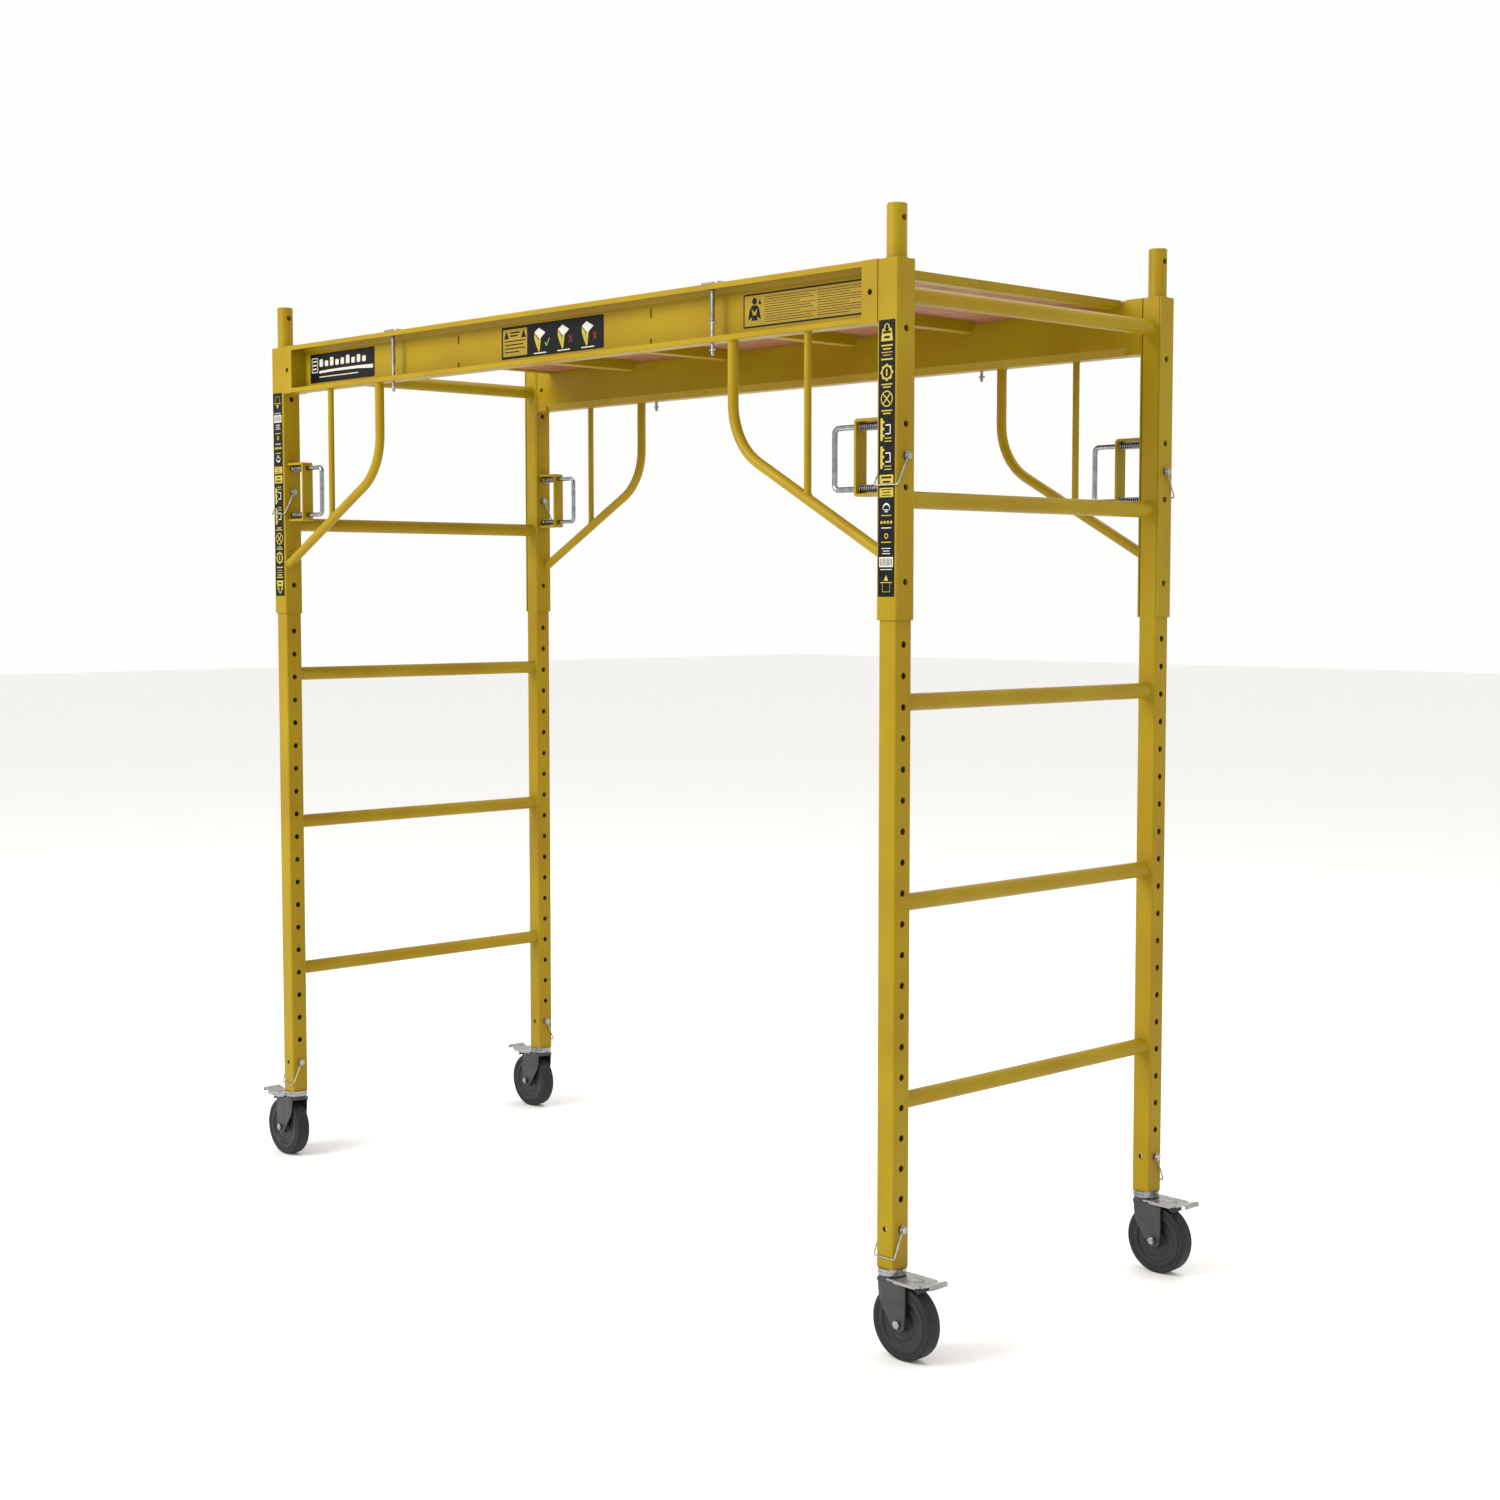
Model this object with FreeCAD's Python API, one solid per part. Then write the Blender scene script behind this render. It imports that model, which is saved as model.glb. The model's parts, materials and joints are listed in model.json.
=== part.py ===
import FreeCAD, Part

import math
import os

from FreeCAD import Vector

# Rolling frame scaffold section, 6 ft. Millimetres, +Z up, X along the bay, Y across it.
# The origin is on the floor under the middle of the bay. Near is -Y, far is +Y, right is +X.

# ---- driving dimensions ----
BAY_LENGTH = 1826.4  # post centre to post centre along X
BAY_WIDTH = 698.5  # post centre to post centre along Y
PITCH = 50.8  # spacing of the adjustment holes
FIRST_HOLE_Z = 215.3  # the caster lock pin's hole
HOLE_COUNT = 31
HOLE_RADIUS = 5.55

POST_SIDE = 38.1
POST_WALL = 2.1
POST_CORNER = 3.5
POST_FOOT_Z = 149.6
POST_LENGTH = 1651.0
CROSS_HOLE_RADIUS = 4.6  # the hole along Y beside the caster lock pin's hole

RUNG_RADIUS = 14.3
RUNG_WALL = 1.8
RUNG_COUNT = 5
RUNG_PITCH = 330.2
LOWEST_RUNG_Z = 425.0

SPIGOT_RADIUS = 16.7
SPIGOT_PLUG_HALF = 16.85  # its square foot inside the post
SPIGOT_PLUG_CORNER = 3.0
SPIGOT_BORE_RADIUS = 13.8
SPIGOT_CHAMFER = 1.5
SPIGOT_BOTTOM_Z = 1720.0
SPIGOT_TOP_Z = 1888.6
SPIGOT_HOLE_Z = 1865.0

SLEEVE_HALF = 22.225  # half its outer width along X
SLEEVE_WALL = 2.65
SLEEVE_BENDS = (3.6, 1.0)  # outside and inside the corner
SLEEVE_BOTTOM_Z = 1220.0
SLEEVE_TOP_Z = 1800.0
SLEEVE_PIN_HOLE = 25  # numbered up from the caster lock pin's hole, which is 0
PRONG_HOLES = (24, 26)
SLEEVE_HOLES = (21, 24, 25, 26, 29)

RAIL_FACE = 371.3  # outer faces of rails, brackets and sleeves, from the middle of the bay
RAIL_WEB = 335.0  # front of the recessed web
RAIL_SHEET = 2.5
RAIL_TOP_Z = 1801.2
RAIL_HEIGHT = 101.6
RAIL_HALF_LENGTH = 856.0
LIP_HEIGHT = 10.0
SHOULDER = (7.5, 15.0)  # how far the web steps out, over how much height, at each flange
TAB_X = 293.6
TAB_SPANS = ((1762.0, 1779.0), (1706.0, 1725.0))
TAB_SIZE = 3.0
BRACKET_WALL = 3.0
BRACKET_HOLE = (874.2, 1749.6)
BRACKET_HOLE_RADIUS = 5.0

BRACE_Y = 359.0
BRACE_X = 538.0
BRACE_RADIUS = 9.525
BRACE_WALL = 1.65
BRACE_BEND = 120.0
BRACE_SLOPE = 28.5  # degrees below the horizontal
BRACE_FOOT_Z = 1329.5  # where its axis meets the sleeve
STRUT_X = 721.0
STRUT_RADIUS = 6.35

STRAP_REACH = 60.0  # from the sleeve's face to the strap's outer face
STRAP_HEIGHT = 127.0
STRAP_WIDTH = 25.4
STRAP_THICK = 4.8
STRAP_BEND = 6.4
STRAP_HOLE_RADIUS = 5.15

PRONG_RADIUS = 4.75
PRONG_TIP_X = 913.2
PRONG_NOSE = 2.0
HANDLE_X = 775.0
HANDLE_BEND = 9.5
COLLAR_X = 884.5
COLLAR_RADIUS = 7.4
COLLAR_THICK = 1.6
SPRING_RADII = (5.4, 7.0)
SPRING_GAP = 0.4  # at each end

PIN_RADIUS = 4.75
PIN_NECK_RADIUS = 3.5
PIN_FLANGE = (7.5, 2.4)
PIN_NECK_LENGTH = 3.8
PIN_CAP = (5.95, 2.6)  # the head's radius and length
WIRE_RADIUS = 1.3
WIRE_GAP = 0.4  # between a bail's wire and what it lies against
BAIL_DROP = 47.0
BAIL_BEND = 4.0

PANEL_HALF_LENGTH = 840.8
PANEL_HALF_WIDTH = 331.9
PANEL_THICK = 12.7
ANGLE_SHEET = 3.0
ANGLE_LEG = 25.0
CROSS_MEMBER_X = (190.0, 504.0)
CROSS_MEMBER_WIDTH = 25.4
CROSS_MEMBER_HEIGHT = 22.0
CROSS_MEMBER_WALL = 2.0
CROSS_MEMBER_HALF_LENGTH = 304.0
CROSS_MEMBER_SLANT = 9.0
SCREW_Y = (95.0, 270.0)
SCREW_RADIUS = 4.6
SCREW_NECK = 2.3  # the head's radius at its foot
SCREW_HEIGHT = 2.4
SCREW_SINK = 0.2  # from the deck's top down to the head
SCREW_GAP = 0.1

LATCH_X = 486.0
LATCH_Y = 359.5
LATCH_ROD_RADIUS = 3.2
LATCH_PLATE = (50.0, 18.0, 3.0)
LATCH_TIP_Z = 1678.0
LATCH_PIN_ZS = (1735.0, 1688.0)
LATCH_PIN = (1.6, 7.5)
LATCH_GAP = 0.4
LATCH_SPRING_RADII = (3.7, 4.9)

WHEEL_RADIUS = 63.5
WHEEL_WIDTH = 30.0
TREAD_INNER_RADIUS = 49.0
HUB_RADIUS = 15.0
HUB_HALF_WIDTH = 17.9
AXLE_RADIUS = 4.75
AXLE_FIT = 0.05
AXLE_OFFSET = 32.0  # outward of the post's centre
AXLE_HEX = 13.0  # across the flats
AXLE_HEAD = 5.0
AXLE_NUT = 6.0
AXLE_END = 7.5  # past the cheek
CHEEK_INNER = 18.5
CHEEK_THICK = 3.2
CROWN_Z = (130.0, 133.5)
RACE_RADIUS = 24.5
HUB_DISC_RADIUS = 23.0
LOWER_RACE_Z = (139.0, 144.3)
UPPER_RACE_Z = 144.7
STEM_RADIUS = 16.2
STEM_TOP_Z = 246.0
KINGPIN_RADIUS = 6.0
KINGPIN_FIT = 0.08
KINGPIN_HEAD = (8.5, 2.6)
KINGPIN_HEAD_GAP = 0.3
FORK_REAR_X = -14.5
FORK_FRONT_X = 22.0
FORK_CHEEK = (
    (-11.0, 98.0, 20.0),
    (6.0, 74.0, 20.0),
    (19.4, 56.0, 4.0),
    (32.0, 50.1, 10.0),
    (45.5, 56.0, 6.0),
    (48.0, 78.0, 10.0),
    (48.0, 128.5, 3.0),
    (24.0, 130.0, 0.0),
)  # x, z and bend radius of the outline's corners
FORK_WING = (11.0, 1.8)  # length of the leg's rear part that slants inwards, and by how much

# The pedal's lengths run outward from the post's centre.
PEDAL_HINGE = (30.0, 125.5)
PEDAL_Z = (134.4, 137.2)
PEDAL_SPAN = (12.0, 80.0)
PEDAL_HALF_WIDTH = 27.0
PEDAL_CORNER = 6.0
PEDAL_LIP = (2.4, 2.6)  # thickness, and depth under the plate
PEDAL_LIP_SPAN = (26.0, 73.0)
PEDAL_EAR_SPAN = (25.0, 35.0)
PEDAL_EAR_Y = (15.9, 18.2)
PEDAL_EAR_Z = 121.5
PEDAL_STUB = (2.5, 20.4)  # radius, and how far it reaches into the cheek
PEDAL_SLIT = (42.0, 64.0, 11.0, 1.4)  # from, to, half width and width of the U-shaped slit
PEDAL_EYE = (69.0, 2.3)
TOE_TIP_X = 104.2
TOE_HALF_WIDTH = 20.0
TOE_RISE = 6.3
TOE_LIP = 9.0
TOE_RIB = (1.4, 0.8, 3.2)  # height, thickness and spacing
SHOE_SPAN = (47.0, 70.0)
SHOE_BOTTOM_Z = 112.0
SHOE_HALF_WIDTH = 15.0
SHOE_GAP = 5.0

TREAD_PROFILE = ((3.5, 0.0), (0.8, 2.6), (0.0, 9.0))  # in from the rolling face, in from the side
CORE_RIM = ((8.0, 4.0), (6.0, 0.5), (0.0, 0.5))  # in from the tread, in from the side
CORE_DISH = 5.5
HUB_EDGE = 1.5

# ---- places worked out from them ----
POST_X = BAY_LENGTH / 2
POST_Y = BAY_WIDTH / 2
POST_TOP_Z = POST_FOOT_Z + POST_LENGTH
RAIL_BOTTOM_Z = RAIL_TOP_Z - RAIL_HEIGHT
PANEL_BOTTOM_Z = RAIL_TOP_Z - PANEL_THICK
SLEEVE_FACE_X = POST_X - SLEEVE_HALF

NEAR, FAR, RIGHT, LEFT = -1, 1, 1, -1
CORNERS = {
    "near_right": (RIGHT, NEAR),
    "near_left": (LEFT, NEAR),
    "far_right": (RIGHT, FAR),
    "far_left": (LEFT, FAR),
}


def hole_z(number):
    return FIRST_HOLE_Z + number * PITCH


# ---- shape helpers ----
def box(low, high):
    size = Vector(*high) - Vector(*low)
    return Part.makeBox(size.x, size.y, size.z, Vector(*low))


def bar(start, end, radius):
    """A round bar between two points."""
    along = Vector(*end) - Vector(*start)
    return Part.makeCylinder(radius, along.Length, Vector(*start), along)


def pipe(start, end, radius, wall):
    return bar(start, end, radius).cut(bar(start, end, radius - wall))


def rounded(corners, closed=True):
    """A wire through (point, bend radius) pairs. An open wire keeps its two ends as they are."""
    points = [Vector(*point) for point, _ in corners]
    count = len(points)
    starts, ends, edges = [], [], []
    for i, (_, radius) in enumerate(corners):
        here = points[i]
        to_last = (points[i - 1] - here).normalize()
        to_next = (points[(i + 1) % count] - here).normalize()
        is_end = not closed and i in (0, count - 1)
        if radius == 0 or is_end:
            starts.append(here)
            ends.append(here)
            continue
        half = to_last.getAngle(to_next) / 2
        reach = radius / math.tan(half)
        start = here + to_last * reach
        end = here + to_next * reach
        middle = here + (to_last + to_next).normalize() * (radius / math.sin(half) - radius)
        edges.append((i, Part.Arc(start, middle, end).toShape()))
        starts.append(start)
        ends.append(end)
    for i in range(count if closed else count - 1):
        a, b = ends[i], starts[(i + 1) % count]
        if a.distanceToPoint(b) > 1e-6:
            edges.append((i + 0.5, Part.LineSegment(a, b).toShape()))
    return Part.Wire([edge for _, edge in sorted(edges, key=lambda item: item[0])])


def extruded(corners, along):
    """A prism on a closed rounded outline."""
    return Part.Face(rounded(corners)).extrude(Vector(*along))


def swept(corners, radius):
    """A round wire or tube that follows an open rounded path."""
    path = rounded(corners, closed=False)
    start = path.Edges[0].valueAt(path.Edges[0].FirstParameter)
    along = path.Edges[0].tangentAt(path.Edges[0].FirstParameter)
    section = Part.Wire(Part.makeCircle(radius, start, along))
    return path.makePipeShell([section], True, False)


def joined(shapes):
    shapes = list(shapes)
    return shapes[0].multiFuse(shapes[1:]).removeSplitter() if len(shapes) > 1 else shapes[0]


def at_corner(shape, side_x, side_y):
    """The near right corner's shape, mirrored to another corner."""
    origin = Vector(0, 0, 0)
    if side_x == LEFT:
        shape = shape.mirror(origin, Vector(1, 0, 0))
    if side_y == FAR:
        shape = shape.mirror(origin, Vector(0, 1, 0))
    return shape


def moved(shape, x, y, z=0.0):
    copy = shape.copy()
    copy.translate(Vector(x, y, z))
    return copy


def turned_shape(profile):
    """A solid of revolution about the Y axis from (radius, y) corners."""
    points = [Vector(radius, y, 0) for radius, y in profile]
    face = Part.Face(Part.makePolygon([*points, points[0]]))
    return face.revolve(Vector(0, 0, 0), Vector(0, 1, 0), 360)


# ---- end frames ----
def column(half, corner, length):
    """A square bar with rounded corners that stands on Z = 0."""
    corners = [((x * half, y * half, 0), corner) for x, y in ((-1, -1), (1, -1), (1, 1), (-1, 1))]
    return extruded(corners, (0, 0, length))


def post():
    half = POST_SIDE / 2
    outside = column(half, POST_CORNER, POST_LENGTH)
    inside = column(half - POST_WALL, POST_CORNER - POST_WALL, POST_LENGTH)
    tube = moved(outside.cut(inside), 0, 0, POST_FOOT_Z)
    reach = POST_SIDE
    holes = [
        bar((-reach, 0, hole_z(i)), (reach, 0, hole_z(i)), HOLE_RADIUS) for i in range(HOLE_COUNT)
    ]
    cross = bar((0, -reach, FIRST_HOLE_Z), (0, reach, FIRST_HOLE_Z), CROSS_HOLE_RADIUS)
    return tube.cut([*holes, cross])


def rungs(side_x):
    reach = POST_Y - POST_SIDE / 2
    x = side_x * POST_X
    heights = [LOWEST_RUNG_Z + i * RUNG_PITCH for i in range(RUNG_COUNT)]
    return [pipe((x, -reach, z), (x, reach, z), RUNG_RADIUS, RUNG_WALL) for z in heights]


def spigot():
    """The coupling pin that the next frame's post fits over, on a square plug inside this post."""
    chamfer_z = SPIGOT_TOP_Z - SPIGOT_CHAMFER
    plug_length = POST_TOP_Z - SPIGOT_BOTTOM_Z
    solid = joined(
        [
            moved(column(SPIGOT_PLUG_HALF, SPIGOT_PLUG_CORNER, plug_length), 0, 0, SPIGOT_BOTTOM_Z),
            bar((0, 0, POST_TOP_Z), (0, 0, chamfer_z), SPIGOT_RADIUS),
            Part.makeCone(
                SPIGOT_RADIUS, SPIGOT_RADIUS - SPIGOT_CHAMFER, SPIGOT_CHAMFER, Vector(0, 0, chamfer_z)
            ),
        ]
    )
    reach = SPIGOT_RADIUS * 2
    bore = bar((0, 0, SPIGOT_BOTTOM_Z), (0, 0, SPIGOT_TOP_Z), SPIGOT_BORE_RADIUS)
    return solid.cut([bore, bar((-reach, 0, SPIGOT_HOLE_Z), (reach, 0, SPIGOT_HOLE_Z), HOLE_RADIUS)])


def caster_stem():
    """Stem in the post's foot, upper ball race and kingpin, in one piece that doesn't turn."""
    stem = bar((0, 0, UPPER_RACE_Z), (0, 0, STEM_TOP_Z), STEM_RADIUS)
    race = bar((0, 0, UPPER_RACE_Z), (0, 0, POST_FOOT_Z), RACE_RADIUS)
    head_radius, head_height = KINGPIN_HEAD
    head_top = CROWN_Z[0] - KINGPIN_HEAD_GAP
    head = bar((0, 0, head_top - head_height), (0, 0, head_top), head_radius)
    kingpin = bar((0, 0, head_top), (0, 0, STEM_TOP_Z), KINGPIN_RADIUS)
    hole = bar((-2 * STEM_RADIUS, 0, FIRST_HOLE_Z), (2 * STEM_RADIUS, 0, FIRST_HOLE_Z), HOLE_RADIUS)
    return joined([stem, race, kingpin, head]).cut(hole)


def lock_pin(half_width, z):
    """A headed pin along X with a grooved tip. Its head is on the +X side of every post."""
    flange_radius, flange_length = PIN_FLANGE
    flange_end = half_width + flange_length
    neck_end = flange_end + PIN_NECK_LENGTH
    cap_radius, cap_length = PIN_CAP
    cap_end = neck_end + cap_length
    return joined(
        [
            bar((-flange_end, 0, z), (half_width, 0, z), PIN_RADIUS),
            bar((half_width, 0, z), (flange_end, 0, z), flange_radius),
            bar((-cap_end, 0, z), (cap_end, 0, z), PIN_NECK_RADIUS),
            bar((neck_end, 0, z), (cap_end, 0, z), cap_radius),
            bar((-neck_end, 0, z), (-cap_end, 0, z), PIN_RADIUS),
        ]
    )


def bail(half_width, outward, z):
    """The wire that swings on a lock pin: a ring on the neck, a loop round the tube, a hook."""
    ring_x = half_width + PIN_FLANGE[1] + PIN_NECK_LENGTH / 2
    ring_radius = PIN_NECK_RADIUS + WIRE_GAP + WIRE_RADIUS
    front = -(outward + WIRE_GAP + WIRE_RADIUS)
    arm = Vector(0, front, -BAIL_DROP).normalize() * ring_radius
    loop = swept(
        [
            ((ring_x, arm.y, z + arm.z), 0),
            ((ring_x, front, z - BAIL_DROP), BAIL_BEND),
            ((-ring_x, front, z - BAIL_DROP), BAIL_BEND),
            ((-ring_x, arm.y, z + arm.z), 0),
        ],
        WIRE_RADIUS,
    )
    ring = Part.makeTorus(ring_radius, WIRE_RADIUS, Vector(ring_x, 0, z), Vector(1, 0, 0))
    hook = Part.makeTorus(ring_radius, WIRE_RADIUS, Vector(-ring_x, 0, z), Vector(1, 0, 0))
    mouth = box((-ring_x - 5, 0, z), (-ring_x + 5, 2 * ring_radius, z + 2 * ring_radius))
    return joined([loop, ring, hook.cut(mouth)])


# ---- platform ----
def sleeve():
    """U-channel round the outer three sides of a post, open towards the rungs."""
    x = SLEEVE_HALF
    bend_out, bend_in = SLEEVE_BENDS
    face = -(RAIL_FACE - POST_Y)
    inner = face + SLEEVE_WALL
    back = POST_SIDE / 2
    corners = [
        ((-x, back, 0), 0),
        ((-x, face, 0), bend_out),
        ((x, face, 0), bend_out),
        ((x, back, 0), 0),
        ((x - SLEEVE_WALL, back, 0), 0),
        ((x - SLEEVE_WALL, inner, 0), bend_in),
        ((-x + SLEEVE_WALL, inner, 0), bend_in),
        ((-x + SLEEVE_WALL, back, 0), 0),
    ]
    channel = moved(extruded(corners, (0, 0, SLEEVE_TOP_Z - SLEEVE_BOTTOM_Z)), 0, 0, SLEEVE_BOTTOM_Z)
    holes = [bar((-2 * x, 0, hole_z(i)), (2 * x, 0, hole_z(i)), HOLE_RADIUS) for i in SLEEVE_HOLES]
    return moved(channel.cut(holes), POST_X, -POST_Y)


def rail_section():
    """Outline of the near rail's lipped channel, which opens outwards."""
    sheet = RAIL_SHEET
    step_out, step_up = SHOULDER
    middle = RAIL_TOP_Z - RAIL_HEIGHT / 2
    front_web = (RAIL_WEB, RAIL_HEIGHT / 2 - step_up)
    front_flange = (RAIL_WEB + step_out, RAIL_HEIGHT / 2 - sheet)
    back_web = (RAIL_WEB - sheet, RAIL_HEIGHT / 2 - step_up + sheet * 0.3)
    back_flange = (RAIL_WEB + step_out - sheet, RAIL_HEIGHT / 2)
    upper = [
        (back_web, 2.0),
        (back_flange, 1.5),
        ((RAIL_FACE, RAIL_HEIGHT / 2), 3.0),
        ((RAIL_FACE, RAIL_HEIGHT / 2 - LIP_HEIGHT), 0),
        ((RAIL_FACE - sheet, RAIL_HEIGHT / 2 - LIP_HEIGHT), 0),
        ((RAIL_FACE - sheet, RAIL_HEIGHT / 2 - sheet), 0.6),
        (front_flange, 1.0),
        (front_web, 1.5),
    ]
    lower = [((out, -up), radius) for (out, up), radius in reversed(upper)]
    return [((0, -out, middle + up), radius) for (out, up), radius in [*upper, *lower]]


def side_rail():
    rail = moved(extruded(rail_section(), (2 * RAIL_HALF_LENGTH, 0, 0)), -RAIL_HALF_LENGTH, 0)
    tabs = [
        box(
            (side * TAB_X - TAB_SIZE / 2, -RAIL_WEB - TAB_SIZE, low),
            (side * TAB_X + TAB_SIZE / 2, -RAIL_WEB + RAIL_SHEET / 2, high),
        )
        for side in (LEFT, RIGHT)
        for low, high in TAB_SPANS
    ]
    holes = [
        bar(
            (side * LATCH_X, -LATCH_Y, RAIL_BOTTOM_Z - 1),
            (side * LATCH_X, -LATCH_Y, RAIL_TOP_Z + 1),
            LATCH_ROD_RADIUS + 0.6,
        )
        for side in (LEFT, RIGHT)
    ]
    return joined([rail, *tabs]).cut(holes)


def rail_bracket():
    """Boxed end of a side rail, welded to the sleeve, open on the sleeve's side."""
    wall = BRACKET_WALL
    back = RAIL_WEB - RAIL_SHEET
    shell = box((RAIL_HALF_LENGTH, -RAIL_FACE, RAIL_BOTTOM_Z), (SLEEVE_FACE_X, -back, RAIL_TOP_Z))
    cavity = box(
        (RAIL_HALF_LENGTH + wall, -RAIL_FACE + wall, RAIL_BOTTOM_Z + wall),
        (SLEEVE_FACE_X, -back - wall, RAIL_TOP_Z - wall),
    )
    x, z = BRACKET_HOLE
    hole = bar((x, -RAIL_FACE - 1, z), (x, -back + 1, z), BRACKET_HOLE_RADIUS)
    return shell.cut([cavity, hole])


def brace_axis_z(x):
    """Height of the sloping run's axis."""
    return BRACE_FOOT_Z + (SLEEVE_FACE_X - x) * math.tan(math.radians(BRACE_SLOPE))


def brace_bar(radius):
    """The brace's round section along its whole path, run on past the sleeve's face."""
    end_x = SLEEVE_FACE_X + 30
    path = [
        ((BRACE_X, -BRACE_Y, RAIL_BOTTOM_Z), 0),
        ((BRACE_X, -BRACE_Y, brace_axis_z(BRACE_X)), BRACE_BEND),
        ((end_x, -BRACE_Y, brace_axis_z(end_x)), 0),
    ]
    beyond = box((SLEEVE_FACE_X, -BRACE_Y - 50, 1200), (end_x + 50, -BRACE_Y + 50, 1500))
    return swept(path, radius).cut(beyond)


def knee_brace():
    """The bent brace from rail to sleeve, and the strut that stands on it."""
    outer = brace_bar(BRACE_RADIUS)
    strut = bar(
        (STRUT_X, -BRACE_Y, brace_axis_z(STRUT_X)), (STRUT_X, -BRACE_Y, RAIL_BOTTOM_Z), STRUT_RADIUS
    )
    return [outer.cut(brace_bar(BRACE_RADIUS - BRACE_WALL)), strut.cut(outer)]


def adjuster_strap():
    """Flat bar bent into a U, its two legs welded to the sleeve."""
    z = hole_z(SLEEVE_PIN_HOLE)
    front = SLEEVE_FACE_X - STRAP_REACH
    half = STRAP_HEIGHT / 2
    y = -POST_Y - STRAP_WIDTH / 2
    corners = [
        ((SLEEVE_FACE_X, y, z + half), 0),
        ((front, y, z + half), STRAP_BEND),
        ((front, y, z - half), STRAP_BEND),
        ((SLEEVE_FACE_X, y, z - half), 0),
        ((SLEEVE_FACE_X, y, z - half + STRAP_THICK), 0),
        ((front + STRAP_THICK, y, z - half + STRAP_THICK), STRAP_BEND - STRAP_THICK),
        ((front + STRAP_THICK, y, z + half - STRAP_THICK), STRAP_BEND - STRAP_THICK),
        ((SLEEVE_FACE_X, y, z + half - STRAP_THICK), 0),
    ]
    holes = [
        bar((front - 1, -POST_Y, hole_z(i)), (front + 10, -POST_Y, hole_z(i)), STRAP_HOLE_RADIUS)
        for i in PRONG_HOLES
    ]
    return extruded(corners, (0, STRAP_WIDTH, 0)).cut(holes)


def adjuster_rod():
    """One rod bent into a handle and two prongs, with a collar on each prong."""
    low, high = (hole_z(i) for i in PRONG_HOLES)
    y = -POST_Y
    nose_start = PRONG_TIP_X - PRONG_NOSE
    rod = swept(
        [
            ((nose_start, y, low), 0),
            ((HANDLE_X, y, low), HANDLE_BEND),
            ((HANDLE_X, y, high), HANDLE_BEND),
            ((nose_start, y, high), 0),
        ],
        PRONG_RADIUS,
    )
    along = Vector(1, 0, 0)
    noses = [
        Part.makeCone(
            PRONG_RADIUS, PRONG_RADIUS - PRONG_NOSE, PRONG_NOSE, Vector(nose_start, y, z), along
        )
        for z in (low, high)
    ]
    collars = [
        bar((COLLAR_X, y, z), (COLLAR_X + COLLAR_THICK, y, z), COLLAR_RADIUS) for z in (low, high)
    ]
    return joined([rod, *noses, *collars])


def adjuster_springs():
    inner, outer = SPRING_RADII
    start = SLEEVE_FACE_X - STRAP_REACH + STRAP_THICK + SPRING_GAP
    end = COLLAR_X - SPRING_GAP
    y = -POST_Y
    return [pipe((start, y, hole_z(i)), (end, y, hole_z(i)), outer, outer - inner) for i in PRONG_HOLES]


def screw_places():
    """Where the deck screws stand, in rows over the cross-members."""
    columns = [side * place for place in CROSS_MEMBER_X for side in (LEFT, RIGHT)]
    rows = [side * place for place in SCREW_Y for side in (NEAR, FAR)]
    return [(x, y) for x in columns for y in rows]


def deck_panel():
    """Plywood sheet with a countersink for each screw."""
    x, y = PANEL_HALF_LENGTH, PANEL_HALF_WIDTH
    sheet = box((-x, -y, PANEL_BOTTOM_Z), (x, y, RAIL_TOP_Z))
    spread = (SCREW_RADIUS - SCREW_NECK) / SCREW_HEIGHT * SCREW_SINK
    depth = SCREW_HEIGHT + SCREW_SINK
    foot = SCREW_NECK + SCREW_GAP
    mouth = SCREW_RADIUS + SCREW_GAP + spread
    return sheet.cut(
        [Part.makeCone(foot, mouth, depth, Vector(*place, RAIL_TOP_Z - depth)) for place in screw_places()]
    )


def deck_end_angle():
    x = PANEL_HALF_LENGTH + 0.2
    y = RAIL_WEB - RAIL_SHEET
    seat = PANEL_BOTTOM_Z
    corners = [
        ((x - ANGLE_LEG + ANGLE_SHEET, -y, seat), 0),
        ((x - ANGLE_LEG + ANGLE_SHEET, -y, seat - ANGLE_SHEET), 0),
        ((x + ANGLE_SHEET, -y, seat - ANGLE_SHEET), ANGLE_SHEET),
        ((x + ANGLE_SHEET, -y, RAIL_TOP_Z), 0),
        ((x, -y, RAIL_TOP_Z), 0),
        ((x, -y, seat), 0),
    ]
    return extruded(corners, (0, 2 * y, 0))


def cross_member(x):
    """Channel under the deck panel, open upwards, with slanted ends."""
    half = CROSS_MEMBER_WIDTH / 2
    wall = CROSS_MEMBER_WALL
    top = PANEL_BOTTOM_Z
    floor = top - CROSS_MEMBER_HEIGHT
    y = CROSS_MEMBER_HALF_LENGTH
    corners = [
        ((x - half, -y, top), 0),
        ((x - half, -y, floor), wall + 0.5),
        ((x + half, -y, floor), wall + 0.5),
        ((x + half, -y, top), 0),
        ((x + half - wall, -y, top), 0),
        ((x + half - wall, -y, floor + wall), 0),
        ((x - half + wall, -y, floor + wall), 0),
        ((x - half + wall, -y, top), 0),
    ]
    channel = extruded(corners, (0, 2 * y, 0))
    ends = []
    for side in (NEAR, FAR):
        slant = [
            ((x - 2 * half, side * y, top), 0),
            ((x - 2 * half, side * (y - CROSS_MEMBER_SLANT), floor - 1), 0),
            ((x - 2 * half, side * (y + 10), floor - 1), 0),
            ((x - 2 * half, side * (y + 10), top), 0),
        ]
        ends.append(extruded(slant, (4 * half, 0, 0)))
    return channel.cut(ends)


def deck_screws():
    """Flat screw heads, sunk just below the deck's top."""
    foot_z = RAIL_TOP_Z - SCREW_SINK - SCREW_HEIGHT
    return [
        Part.makeCone(SCREW_NECK, SCREW_RADIUS, SCREW_HEIGHT, Vector(*place, foot_z))
        for place in screw_places()
    ]


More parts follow.
